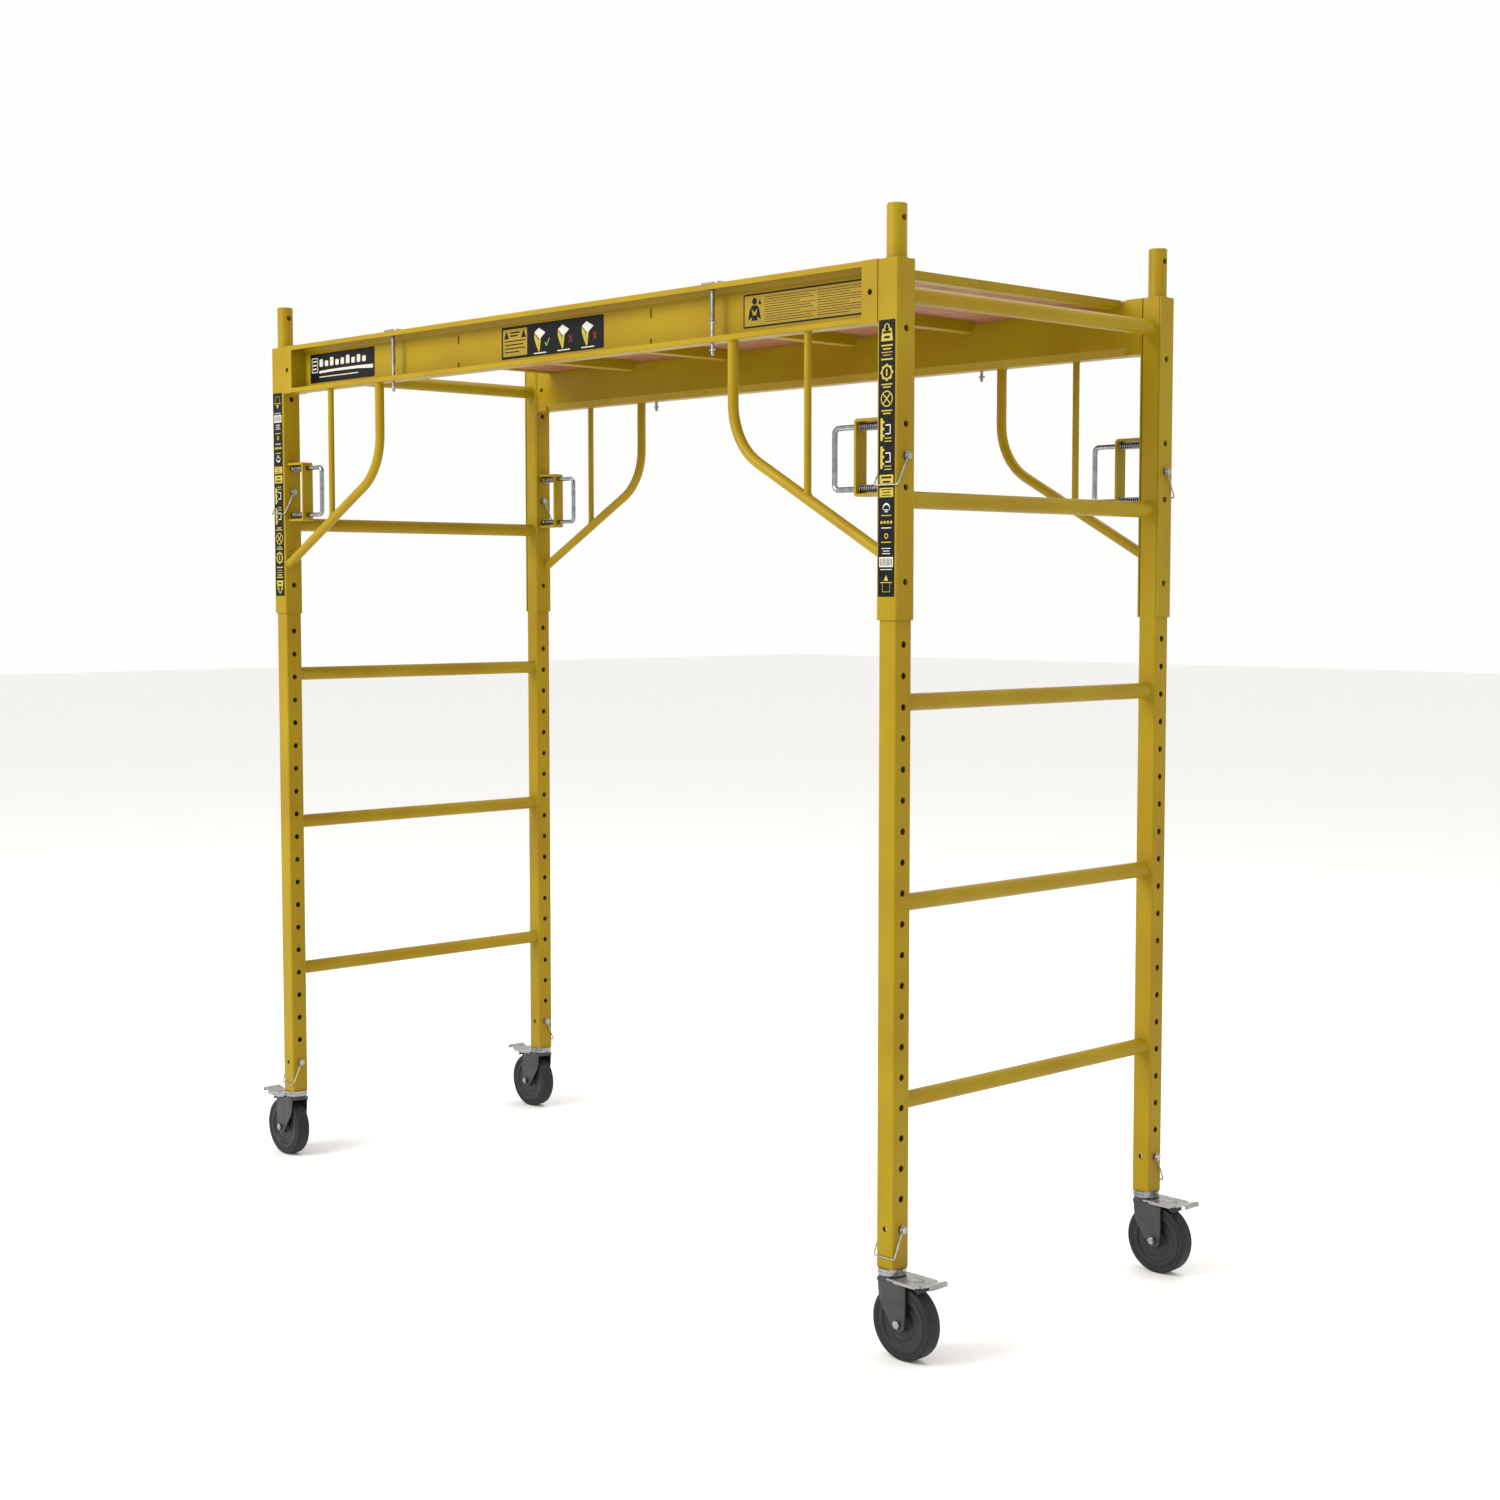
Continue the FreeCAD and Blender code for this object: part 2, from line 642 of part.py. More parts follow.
def latch():
    """Hold-down latch: a plate on the rail's top, on a rod through both flanges."""
    length, width, thick = LATCH_PLATE
    plate_z = RAIL_TOP_Z + LATCH_GAP
    half, side = length / 2, width / 2
    x, y = LATCH_X, -LATCH_Y
    corners = [
        ((x - half, y - side, plate_z), side * 0.98),
        ((x + half, y - side, plate_z), side * 0.98),
        ((x + half, y + side, plate_z), side * 0.98),
        ((x - half, y + side, plate_z), side * 0.98),
    ]
    pin_radius, pin_half = LATCH_PIN
    cross_pins = [bar((x - pin_half, y, z), (x + pin_half, y, z), pin_radius) for z in LATCH_PIN_ZS]
    tip = Part.makeCone(LATCH_ROD_RADIUS * 0.5, LATCH_ROD_RADIUS, 2.0, Vector(x, y, LATCH_TIP_Z))
    rod = bar((x, y, LATCH_TIP_Z + 2.0), (x, y, plate_z + thick), LATCH_ROD_RADIUS)
    return joined([extruded(corners, (0, 0, thick)), rod, tip, *cross_pins])


def latch_spring():
    inner, outer = LATCH_SPRING_RADII
    x, y = LATCH_X, -LATCH_Y
    bottom = LATCH_PIN_ZS[0] + LATCH_PIN[0] + 0.6
    return pipe((x, y, bottom), (x, y, RAIL_TOP_Z - RAIL_SHEET), outer, outer - inner)


# ---- casters, built round the near right post's axis ----
def fork_cheek(side):
    """One leg of the fork: wide at the crown, narrow round the axle, its rear part slanted inwards."""
    low = side * CHEEK_INNER
    outer = side * (CHEEK_INNER + CHEEK_THICK)
    corners = [
        ((FORK_REAR_X, low, CROWN_Z[1]), 0),
        *(((x, low, z), bend) for x, z, bend in FORK_CHEEK),
        ((FORK_FRONT_X, low, CROWN_Z[1]), 0),
    ]
    wing_length, wing_depth = FORK_WING
    slant = [
        ((FORK_REAR_X - 1, outer, 0), 0),
        ((FORK_REAR_X + wing_length, outer, 0), 0),
        ((FORK_REAR_X - 1, outer - side * wing_depth, 0), 0),
    ]
    return extruded(corners, (0, side * CHEEK_THICK, 0)).cut(extruded(slant, (0, 0, 2 * WHEEL_RADIUS)))


def fork():
    """Pressed fork with its hub disc, which turn on the kingpin."""
    outer = CHEEK_INNER + CHEEK_THICK
    crown = box((FORK_REAR_X, -outer, CROWN_Z[0]), (FORK_FRONT_X, outer, CROWN_Z[1]))
    disc = bar((0, 0, CROWN_Z[0]), (0, 0, LOWER_RACE_Z[0]), HUB_DISC_RADIUS)
    body = joined([crown, disc, fork_cheek(1), fork_cheek(-1)])
    hinge_x, hinge_z = PEDAL_HINGE
    stub_radius, stub_end = PEDAL_STUB
    dimple = stub_end + KINGPIN_FIT
    holes = [
        bar((0, 0, 0), (0, 0, POST_FOOT_Z), KINGPIN_RADIUS + KINGPIN_FIT),
        bar((AXLE_OFFSET, -outer, WHEEL_RADIUS), (AXLE_OFFSET, outer, WHEEL_RADIUS), AXLE_RADIUS),
        bar((hinge_x, -dimple, hinge_z), (hinge_x, dimple, hinge_z), stub_radius + AXLE_FIT),
    ]
    return body.cut(holes)


def lower_race():
    """The ball race that turns with the fork."""
    ring = bar((0, 0, LOWER_RACE_Z[0]), (0, 0, LOWER_RACE_Z[1]), RACE_RADIUS)
    return ring.cut(bar((0, 0, 0), (0, 0, POST_FOOT_Z), KINGPIN_RADIUS + KINGPIN_FIT))


def hexagon(x, z, flats, y_from, y_to):
    radius = flats / math.sqrt(3)
    corners = [
        ((x + radius * math.cos(a), y_from, z + radius * math.sin(a)), 0)
        for a in (math.radians(60 * i) for i in range(6))
    ]
    return extruded(corners, (0, y_to - y_from, 0))


def axle():
    """Bolt through both cheeks, with its head and nut."""
    outer = CHEEK_INNER + CHEEK_THICK
    x, z = AXLE_OFFSET, WHEEL_RADIUS
    return joined(
        [
            bar((x, -outer, z), (x, outer + AXLE_END, z), AXLE_RADIUS),
            hexagon(x, z, AXLE_HEX, -outer - AXLE_HEAD, -outer),
            hexagon(x, z, AXLE_HEX, outer, outer + AXLE_NUT),
        ]
    )


def wheel():
    """Moulded tread on a dished core."""
    half = WHEEL_WIDTH / 2
    inner, outer = TREAD_INNER_RADIUS, WHEEL_RADIUS
    flank = [(outer - depth, half - inset) for depth, inset in TREAD_PROFILE]
    tread_side = [(inner, half), *flank]
    tread = turned_shape([*tread_side, *((radius, -y) for radius, y in reversed(tread_side))])
    rim = [(inner - depth, half - inset) for depth, inset in CORE_RIM]
    core_side = [
        (AXLE_RADIUS + AXLE_FIT, HUB_HALF_WIDTH),
        (HUB_RADIUS - HUB_EDGE, HUB_HALF_WIDTH),
        (HUB_RADIUS, HUB_HALF_WIDTH - HUB_EDGE),
        (HUB_RADIUS + HUB_EDGE, half - CORE_DISH),
        *rim,
    ]
    core = turned_shape([*core_side, *((radius, -y) for radius, y in reversed(core_side))])
    return [moved(piece, AXLE_OFFSET, 0, WHEEL_RADIUS) for piece in (tread, core)]


def both_sides(x_span, y_span, z_span):
    """A box at +Y and its mirror image at -Y."""
    inner, outer = y_span
    shape = box((x_span[0], inner, z_span[0]), (x_span[1], outer, z_span[1]))
    return [shape, at_corner(shape, RIGHT, FAR)]


def pedal_toe():
    """The pedal's end: bent up, then turned down into a ribbed lip for the boot."""
    low, high = PEDAL_Z
    thick = high - low
    root, bend_x = PEDAL_SPAN[1] - 10, PEDAL_SPAN[1] + 3
    lip_bottom = high + TOE_RISE - TOE_LIP
    half = TOE_HALF_WIDTH
    corners = [
        ((root, -half, low), 0),
        ((bend_x, -half, low), 4.0),
        ((TOE_TIP_X - thick, -half, low + TOE_RISE), 1.0),
        ((TOE_TIP_X - thick, -half, lip_bottom), 0),
        ((TOE_TIP_X, -half, lip_bottom), 0),
        ((TOE_TIP_X, -half, high + TOE_RISE), 3.0),
        ((bend_x - 0.6, -half, high), 5.0),
        ((root, -half, high), 0),
    ]
    rib_height, rib_thick, rib_pitch = TOE_RIB
    ribs = [
        box(
            (TOE_TIP_X - 0.5, -half, lip_bottom + 0.4 + i * rib_pitch),
            (TOE_TIP_X + rib_thick, half, lip_bottom + 0.4 + i * rib_pitch + rib_height),
        )
        for i in range(2)
    ]
    return joined([extruded(corners, (0, 2 * half, 0)), *ribs])


def pedal():
    """Brake pedal: a slit plate with two lips and two hinge ears, a toe, and a shoe over the tread."""
    low, high = PEDAL_Z
    start, end = PEDAL_SPAN
    half = PEDAL_HALF_WIDTH
    corners = [
        ((start, -half, low), 0),
        ((end, -half, low), PEDAL_CORNER),
        ((end, half, low), PEDAL_CORNER),
        ((start, half, low), 0),
    ]
    plate = extruded(corners, (0, 0, high - low))
    slit_start, slit_end, slit_half, slit_width = PEDAL_SLIT
    eye_x, eye_radius = PEDAL_EYE
    plate = plate.cut(
        [
            bar((0, 0, low - 1), (0, 0, high + 1), RACE_RADIUS + 0.5),
            bar((eye_x, 0, low - 1), (eye_x, 0, high + 1), eye_radius),
            *both_sides((slit_start, slit_end), (slit_half - slit_width, slit_half), (low - 1, high + 1)),
            box((slit_end - slit_width, -slit_half, low - 1), (slit_end, slit_half, high + 1)),
        ]
    )
    lip_thick, lip_depth = PEDAL_LIP
    lips = both_sides(PEDAL_LIP_SPAN, (half - lip_thick, half), (low - lip_depth, high))
    ears = both_sides(PEDAL_EAR_SPAN, PEDAL_EAR_Y, (PEDAL_EAR_Z, high))
    hinge_x, hinge_z = PEDAL_HINGE
    stub_radius, stub_end = PEDAL_STUB
    stubs = [
        bar((hinge_x, side * PEDAL_EAR_Y[0], hinge_z), (hinge_x, side * stub_end, hinge_z), stub_radius)
        for side in (NEAR, FAR)
    ]
    shoe_half = SHOE_HALF_WIDTH
    shoe = box((SHOE_SPAN[0], -shoe_half, SHOE_BOTTOM_Z), (SHOE_SPAN[1], shoe_half, low + 0.3))
    tread_space = bar(
        (AXLE_OFFSET, -half, WHEEL_RADIUS), (AXLE_OFFSET, half, WHEEL_RADIUS), WHEEL_RADIUS + SHOE_GAP
    )
    return joined([plate, *lips, *ears, *stubs, pedal_toe(), shoe.cut(tread_space)])


# ---- writing ----
def placed_caster(shape, side_x, side_y):
    return at_corner(moved(shape, POST_X, -POST_Y), side_x, side_y)


def on_post(shape, side_x, side_y):
    """A pin or bail, whose head stays on the +X side of every post."""
    return moved(at_corner(shape, RIGHT, side_y), side_x * POST_X, side_y * POST_Y)


def nodes():
    """Every node's name with its solids."""
    everywhere = CORNERS.values()
    pin_z = hole_z(SLEEVE_PIN_HOLE)
    sleeve_outward = RAIL_FACE - POST_Y
    parts = {
        "rungs": [*rungs(RIGHT), *rungs(LEFT)],
        "knee_braces_near": [at_corner(piece, x, NEAR) for x in (RIGHT, LEFT) for piece in knee_brace()],
        "knee_braces_far": [at_corner(piece, x, FAR) for x in (RIGHT, LEFT) for piece in knee_brace()],
        "coupling_pins": [moved(spigot(), x * POST_X, y * POST_Y) for x, y in everywhere],
        "caster_stems": [moved(caster_stem(), x * POST_X, y * POST_Y) for x, y in everywhere],
        "caster_lock_pins": [on_post(lock_pin(POST_SIDE / 2, FIRST_HOLE_Z), x, y) for x, y in everywhere],
        "sleeve_lock_pins": [on_post(lock_pin(SLEEVE_HALF, pin_z), x, y) for x, y in everywhere],
        "side_rail_near": [side_rail()],
        "side_rail_far": [at_corner(side_rail(), RIGHT, FAR)],
        "rail_brackets": [at_corner(rail_bracket(), x, y) for x, y in everywhere],
        "adjuster_straps": [at_corner(adjuster_strap(), x, y) for x, y in everywhere],
        "deck_panel": [deck_panel()],
        "deck_end_angles": [at_corner(deck_end_angle(), x, NEAR) for x in (RIGHT, LEFT)],
        "cross_members": [cross_member(s * x) for x in CROSS_MEMBER_X for s in (LEFT, RIGHT)],
        "deck_screws": deck_screws(),
        "latch_springs": [at_corner(latch_spring(), x, y) for x, y in everywhere],
    }
    for name, (x, y) in CORNERS.items():
        parts[f"post_{name}"] = [moved(post(), x * POST_X, y * POST_Y)]
        parts[f"sleeve_{name}"] = [at_corner(sleeve(), x, y)]
        parts[f"adjuster_rod_{name}"] = [at_corner(adjuster_rod(), x, y)]
        parts[f"adjuster_springs_{name}"] = [at_corner(piece, x, y) for piece in adjuster_springs()]
        parts[f"sleeve_bail_{name}"] = [on_post(bail(SLEEVE_HALF, sleeve_outward, pin_z), x, y)]
        parts[f"caster_bail_{name}"] = [
            on_post(bail(POST_SIDE / 2, POST_SIDE / 2, FIRST_HOLE_Z), x, y)
        ]
        parts[f"latch_{name}"] = [at_corner(latch(), x, y)]
        parts[f"fork_{name}"] = [placed_caster(fork(), x, y)]
        parts[f"caster_axle_{name}"] = [placed_caster(piece, x, y) for piece in (axle(), lower_race())]
        parts[f"wheel_{name}"] = [placed_caster(piece, x, y) for piece in wheel()]
        parts[f"brake_pedal_{name}"] = [placed_caster(pedal(), x, y)]
    return parts


def main():
    os.makedirs("parts", exist_ok=True)
    for name, solids in nodes().items():
        shape = solids[0] if len(solids) == 1 else Part.makeCompound(solids)
        if not shape.isValid():
            raise ValueError(f"{name} isn't a valid shape")
        shape.exportStep(f"parts/{name}.step")
        print(f"{name}: {len(shape.Solids)} solids, {shape.Volume / 1000:.1f} cm3")


main()
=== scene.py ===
import json
import math

import bmesh
import bpy
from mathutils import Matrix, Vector


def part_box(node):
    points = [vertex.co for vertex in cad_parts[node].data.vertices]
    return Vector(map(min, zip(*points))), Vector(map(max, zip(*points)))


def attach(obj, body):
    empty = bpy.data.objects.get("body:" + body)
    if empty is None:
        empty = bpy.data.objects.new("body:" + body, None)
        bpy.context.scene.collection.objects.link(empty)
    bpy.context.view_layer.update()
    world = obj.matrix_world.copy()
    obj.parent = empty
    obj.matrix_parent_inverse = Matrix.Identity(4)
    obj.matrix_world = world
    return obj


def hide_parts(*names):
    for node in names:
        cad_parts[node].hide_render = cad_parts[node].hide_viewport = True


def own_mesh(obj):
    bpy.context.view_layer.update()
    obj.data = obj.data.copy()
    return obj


bl_info = {
    "name": "Rolling Scaffold Section",
    "version": (1, 0, 0),
    "blender": (4, 5, 0),
    "location": "View3D > Sidebar > Scaffold",
    "description": "Paint, plywood, springs, welds, wheels and decals of a rolling scaffold section",
    "category": "Object",
}

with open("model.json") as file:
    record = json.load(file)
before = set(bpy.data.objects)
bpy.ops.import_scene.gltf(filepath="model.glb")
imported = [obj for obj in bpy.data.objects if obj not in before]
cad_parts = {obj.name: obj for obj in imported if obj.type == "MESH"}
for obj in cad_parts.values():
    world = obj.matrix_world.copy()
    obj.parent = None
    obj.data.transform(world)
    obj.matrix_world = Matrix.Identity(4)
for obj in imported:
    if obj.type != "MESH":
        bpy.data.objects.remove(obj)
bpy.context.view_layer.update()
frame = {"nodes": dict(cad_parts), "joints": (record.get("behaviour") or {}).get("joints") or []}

MM = 0.001
NEAR, FAR, RIGHT, LEFT = -1, 1, 1, -1
CORNERS = {
    "near_right": (RIGHT, NEAR),
    "near_left": (LEFT, NEAR),
    "far_right": (RIGHT, FAR),
    "far_left": (LEFT, FAR),
}


def middle(node_name):
    low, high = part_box(node_name)
    return (low + high) / 2


# Places taken from the frame's own boxes
POST = {name: middle(f"post_{name}") for name in CORNERS}
POST_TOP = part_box("post_near_right")[1].z
SLEEVE_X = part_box("sleeve_near_right")[0].x  # the sleeve's face towards the middle of the bay
RAIL_LOW, RAIL_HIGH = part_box("side_rail_near")
RAIL_BACK = -RAIL_HIGH.y
PANEL_LOW, PANEL_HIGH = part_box("deck_panel")

# Sizes that the boxes don't give
RAIL_SHEET = 2.5 * MM
RAIL_WEB = RAIL_BACK + RAIL_SHEET
RUNG_COUNT = 5
RUNG_RADIUS = 14.3 * MM
PIN_WELD_RADIUS = 17.3 * MM
BRACE_X = 538 * MM  # where a brace's upright end meets the rail
BRACE_SLOPE = math.radians(28.5)
STRUT_X = 721 * MM
STRUT_RADIUS = 6.35 * MM
STRAP_WIDTH = 25.4 * MM
BRACKET_WELD_INSET = 1.5 * MM  # from the bracket's front
BRACKET_WELD_DROP = 2 * MM  # from its top
LATCH_COIL_RADIUS = 4.9 * MM
SCREW_RADIUS = 4.6 * MM
SCREW_SEED = 7
CORE_BORE = 4.8 * MM
TREAD_HALF_WIDTH = 15 * MM
TREAD_INNER = 49 * MM
CORE_HALF_WIDTH = 14.6 * MM
SHOE_HALF_WIDTH = 15.75 * MM
SHOE_TOP = 134.2 * MM
PLIES = 9
BANNER_X, GUIDE_X, NOTICE_X = -713 * MM, 5 * MM, 696 * MM
STRIP_Z = 1480 * MM

# Sides and rows of points that curved shapes are drawn with
WELD_POINTS, SADDLE_POINTS, SCREW_SIDES = 40, 32, 24
TREAD_SEGMENTS, CORE_SEGMENTS = 112, 96
COIL_RESOLUTION, WIRE_SIDES, BEAD_SIDES = 22, 9, 8

# Kinds of node that are used again and again
NOISE, RANGE, MIX = "ShaderNodeTexNoise", "ShaderNodeMapRange", "ShaderNodeMix"
MATH, BUMP = "ShaderNodeMath", "ShaderNodeBump"
SPLIT, JOIN = "ShaderNodeSeparateXYZ", "ShaderNodeCombineXYZ"


# ---- colours and nodes ----
def srgb(code):
    """A #RRGGBB colour as linear red, green and blue, and a full alpha."""
    values = [int(code[i : i + 2], 16) / 255 for i in (1, 3, 5)]
    linear = (v / 12.92 if v <= 0.04045 else ((v + 0.055) / 1.055) ** 2.4 for v in values)
    return (*linear, 1.0)


def darker(colour, share):
    return (*(v * share for v in colour[:3]), 1.0)


def grains(millimetres):
    """The scale of a pattern whose grains are so many millimetres across."""
    return 1 / (millimetres * MM)


def set_inputs(tree, node, inputs):
    """Gives a node's inputs their values and links, by name or in the order of those in use.

    A node given as a value stands for its first output in use.
    """
    if not isinstance(inputs, dict):
        in_use = [i for i, socket in enumerate(node.inputs) if socket.enabled]
        inputs = dict(zip(in_use, inputs))
    for key, value in inputs.items():
        if isinstance(value, bpy.types.Node):
            value = next(output for output in value.outputs if output.enabled)
        if isinstance(value, bpy.types.NodeSocket):
            tree.links.new(value, node.inputs[key])
        else:
            node.inputs[key].default_value = value


def add(tree, kind, inputs=(), **settings):
    """Adds a node with its settings and links."""
    node = tree.nodes.new(kind)
    for key, value in settings.items():
        setattr(node, key, value)
    set_inputs(tree, node, inputs)
    return node


# ---- finishes ----
def new_finish(name):
    """An empty material with its shader, output and object coordinates."""
    material = bpy.data.materials.new(name)
    material.use_nodes = True
    tree = material.node_tree
    tree.nodes.clear()
    shader = add(tree, "ShaderNodeBsdfPrincipled")
    add(tree, "ShaderNodeOutputMaterial", {"Surface": shader})
    return material, tree, shader, add(tree, "ShaderNodeTexCoord").outputs["Object"]


def clouded_finish(name, light, dark, size, span, detail=3, roughness=0.5, most=1):
    """A new finish whose colour drifts from light to dark in clouds of some millimetres' size."""
    material, tree, shader, place = new_finish(name)
    looks = {"Vector": place, "Scale": grains(size), "Detail": detail, "Roughness": roughness}
    cloud = add(tree, NOISE, looks)
    drift = add(tree, RANGE, (cloud, *span, 0, most))
    base = add(tree, MIX, (drift, light, dark), data_type="RGBA")
    set_inputs(tree, shader, {"Base Color": base})
    return material, tree, shader, place, cloud


def drawn_out(tree, place, sizes, **looks):
    """Noise drawn out as grain and polishing streaks are, with its sizes along X, Y and Z."""
    scale = tuple(grains(size) for size in sizes)
    mapped = add(tree, "ShaderNodeMapping", {"Vector": place, "Scale": scale})
    return add(tree, NOISE, {"Vector": mapped, "Scale": 1.0, **looks})


def powder_coat(colours):
    """Polyester powder coat on steel, sprayed dry and baked.

    It gives one deep, even yellow with a soft gloss and a faint orange peel. The peel's waves are
    about 1.5 mm on the real coat and are drawn 6 mm wide here, so that they show.
    """
    name = "powder coated steel, yellow"
    finish = clouded_finish(name, colours.paint, colours.paint_thin, 180, (0.35, 0.65))
    material, tree, shader, place, _ = finish
    base = shader.inputs["Base Color"].links[0].from_socket
    thin = add(tree, NOISE, {"Vector": place, "Scale": grains(22), "Detail": 4, "Roughness": 0.6})
    dust = add(tree, RANGE, (thin, 0.6, 0.78, 0, 0.35))
    peel = add(tree, NOISE, {"Vector": place, "Scale": grains(6)})
    set_inputs(tree, shader, {
        "Base Color": add(tree, MIX, (dust, base, colours.paint_dusty), data_type="RGBA"),
        "Roughness": add(tree, RANGE, (thin, 0.3, 0.7, 0.3, 0.44)),
        "Specular IOR Level": 0.14,
        "Normal": add(tree, BUMP, {"Height": peel, "Distance": 0.05 * MM, "Strength": 0.5}),
    })
    return material


def weld_coat(colours):
    """The same coat over a weld bead, where it pools between the ripples and looks darker."""
    name = "powder coated weld bead"
    finish = clouded_finish(name, colours.paint, colours.paint_thin, 2.5, (0.4, 0.7))
    material, tree, shader, _, spatter = finish
    set_inputs(tree, shader, {
        "Roughness": 0.4,
        "Specular IOR Level": 0.2,
        "Normal": add(tree, BUMP, {"Height": spatter, "Distance": 0.25 * MM, "Strength": 0.7}),
    })
    return material


def plywood(colours):
    """Rotary-cut plywood, sealed: long, wavy grain on its faces and the plies' stripes on its edges."""
    material, tree, shader, place = new_finish("sealed plywood")
    # The grain wanders sideways by up to 90 mm along the board
    wander = drawn_out(tree, place, (572, 156, 260), Detail=3)
    push = add(tree, MATH, (wander, 0.09), operation="MULTIPLY")
    shift = add(tree, JOIN, {"Y": push})
    wavy = add(tree, "ShaderNodeVectorMath", (place, shift), operation="ADD")
    grain = drawn_out(tree, wavy, (540, 9, 9), Detail=5, Roughness=0.62)
    figure = drawn_out(tree, wavy, (736, 46, 46), Detail=3)
    pores = drawn_out(tree, place, (39.6, 2.2, 2.2), Detail=1)
    face = colours.veneer
    for pattern, start, end, most, tone in (
        (figure, 0.3, 0.7, 1, colours.veneer_dark),
        (grain, 0.4, 0.75, 0.75, colours.veneer_grain),
        (pores, 0.62, 0.72, 0.35, colours.veneer_pore),
    ):
        amount = add(tree, RANGE, (pattern, start, end, 0, most))
        face = add(tree, MIX, (amount, face, tone), data_type="RGBA")

    # Painted shade: the underside is multiplied by a darker, pinker colour than the top
    height = add(tree, SPLIT, (place,)).outputs["Z"]
    low, thickness = PANEL_LOW.z, PANEL_HIGH.z - PANEL_LOW.z
    is_top = add(tree, RANGE, (height, low + 0.2 * thickness, low + 0.8 * thickness))
    shade_blend = (1.0, face, colours.underside_shade)
    under = add(tree, MIX, shade_blend, data_type="RGBA", blend_type="MULTIPLY")
    faces = add(tree, MIX, (is_top, under, face), data_type="RGBA")

    # Each second ply is turned, and shows its dark end grain
    pair = add(tree, MATH, (height, thickness / (PLIES / 2)), operation="DIVIDE")
    turn = add(tree, MATH, (pair,), operation="FRACT")
    stripe = add(tree, RANGE, (turn, 0.46, 0.54))
    stripes = add(tree, MIX, (stripe, colours.veneer, colours.veneer_pore), data_type="RGBA")
    normal = add(tree, "ShaderNodeTexCoord").outputs["Normal"]
    up = add(tree, SPLIT, (normal,)).outputs["Z"]
    flat = add(tree, MATH, (up,), operation="ABSOLUTE")
    on_edge = add(tree, RANGE, (flat, 0.4, 0.6, 1, 0))
    set_inputs(tree, shader, {
        "Base Color": add(tree, MIX, (on_edge, faces, stripes), data_type="RGBA"),
        "Roughness": add(tree, RANGE, (grain, 0.3, 0.7, 0.5, 0.66)),
        "Normal": add(tree, BUMP, {"Height": grain, "Distance": 0.25 * MM, "Strength": 0.5}),
    })
    return material


def chrome_plate(colours):
    """Hard chrome on cold-drawn rod, polished lengthwise: a bright mirror with faint streaks."""
    name = "chrome plated rod"
    finish = clouded_finish(name, colours.chrome, colours.chrome_dark, 14, (0.35, 0.65), detail=2)
    material, tree, shader, place, cloud = finish
    streak = drawn_out(tree, place, (24, 3, 3), Detail=3)
    set_inputs(tree, shader, {
        "Metallic": 1.0,
        "Roughness": add(tree, RANGE, (streak, 0.3, 0.7, 0.1, 0.2)),
        "Normal": add(tree, BUMP, {"Height": cloud, "Distance": 0.02 * MM, "Strength": 0.2}),
    })
    return material


def zinc_plate(colours):
    """Bright zinc plating on pressed or turned steel: a soft shine with cloudy patches."""
    name = "zinc plated steel"
    finish = clouded_finish(name, colours.zinc, colours.zinc_dark, 12, (0.35, 0.68))
    material, tree, shader, place, cloud = finish
    cells = {"Vector": place, "Scale": grains(7)}
    spangle = add(tree, "ShaderNodeTexVoronoi", cells, feature="SMOOTH_F1")
    set_inputs(tree, shader, {
        "Metallic": 1.0,
        "Roughness": add(tree, RANGE, (spangle, 0.1, 0.8, 0.24, 0.42)),
        "Normal": add(tree, BUMP, {"Height": cloud, "Distance": 0.04 * MM, "Strength": 0.4}),
    })
    return material


def pedal_plate(colours):
    """Zinc plated pressing with a matt black rubber shoe bonded under it."""
    material = zinc_plate(colours)
    material.name = "zinc plated pressing with rubber shoe"
    tree = material.node_tree
    shader = next(n for n in tree.nodes if n.type == "BSDF_PRINCIPLED")
    place = next(n for n in tree.nodes if n.type == "TEX_COORD").outputs["Object"]
    plate_colour, plate_gloss = (
        shader.inputs[name].links[0].from_socket for name in ("Base Color", "Roughness")
    )
    # The shoe is what lies within its half width of a caster's middle and below its top
    parts = add(tree, SPLIT, (place,)).outputs
    side = add(tree, MATH, (parts["Y"],), operation="ABSOLUTE")
    off = add(tree, MATH, (side, POST["far_right"].y), operation="SUBTRACT")
    off = add(tree, MATH, (off,), operation="ABSOLUTE")
    blur = 0.25 * MM
    narrow = add(tree, RANGE, (off, SHOE_HALF_WIDTH - blur, SHOE_HALF_WIDTH + blur, 1, 0))
    blur = 0.1 * MM
    low = add(tree, RANGE, (parts["Z"], SHOE_TOP - blur, SHOE_TOP + blur, 1, 0))
    shoe = add(tree, MATH, (narrow, low), operation="MULTIPLY")
    duller = add(tree, RANGE, (shoe, 0, 1, 0, 0.35))
    set_inputs(tree, shader, {
        "Base Color": add(tree, MIX, (shoe, plate_colour, colours.rubber), data_type="RGBA"),
        "Metallic": add(tree, RANGE, (shoe, 0, 1, 1, 0)),
        "Roughness": add(tree, MATH, (plate_gloss, duller), operation="ADD"),
    })
    return material


def spring_steel(colours):
    """Oil-tempered spring wire, lightly plated: dark bright metal, smooth along the wire."""
    name = "plated spring wire"
    finish = clouded_finish(name, colours.spring, colours.zinc_dark, 5, (0.35, 0.65))
    material, tree, shader, _, cloud = finish
    gloss = add(tree, RANGE, (cloud, 0.3, 0.7, 0.22, 0.38))
    set_inputs(tree, shader, {"Metallic": 1.0, "Roughness": gloss})
    return material


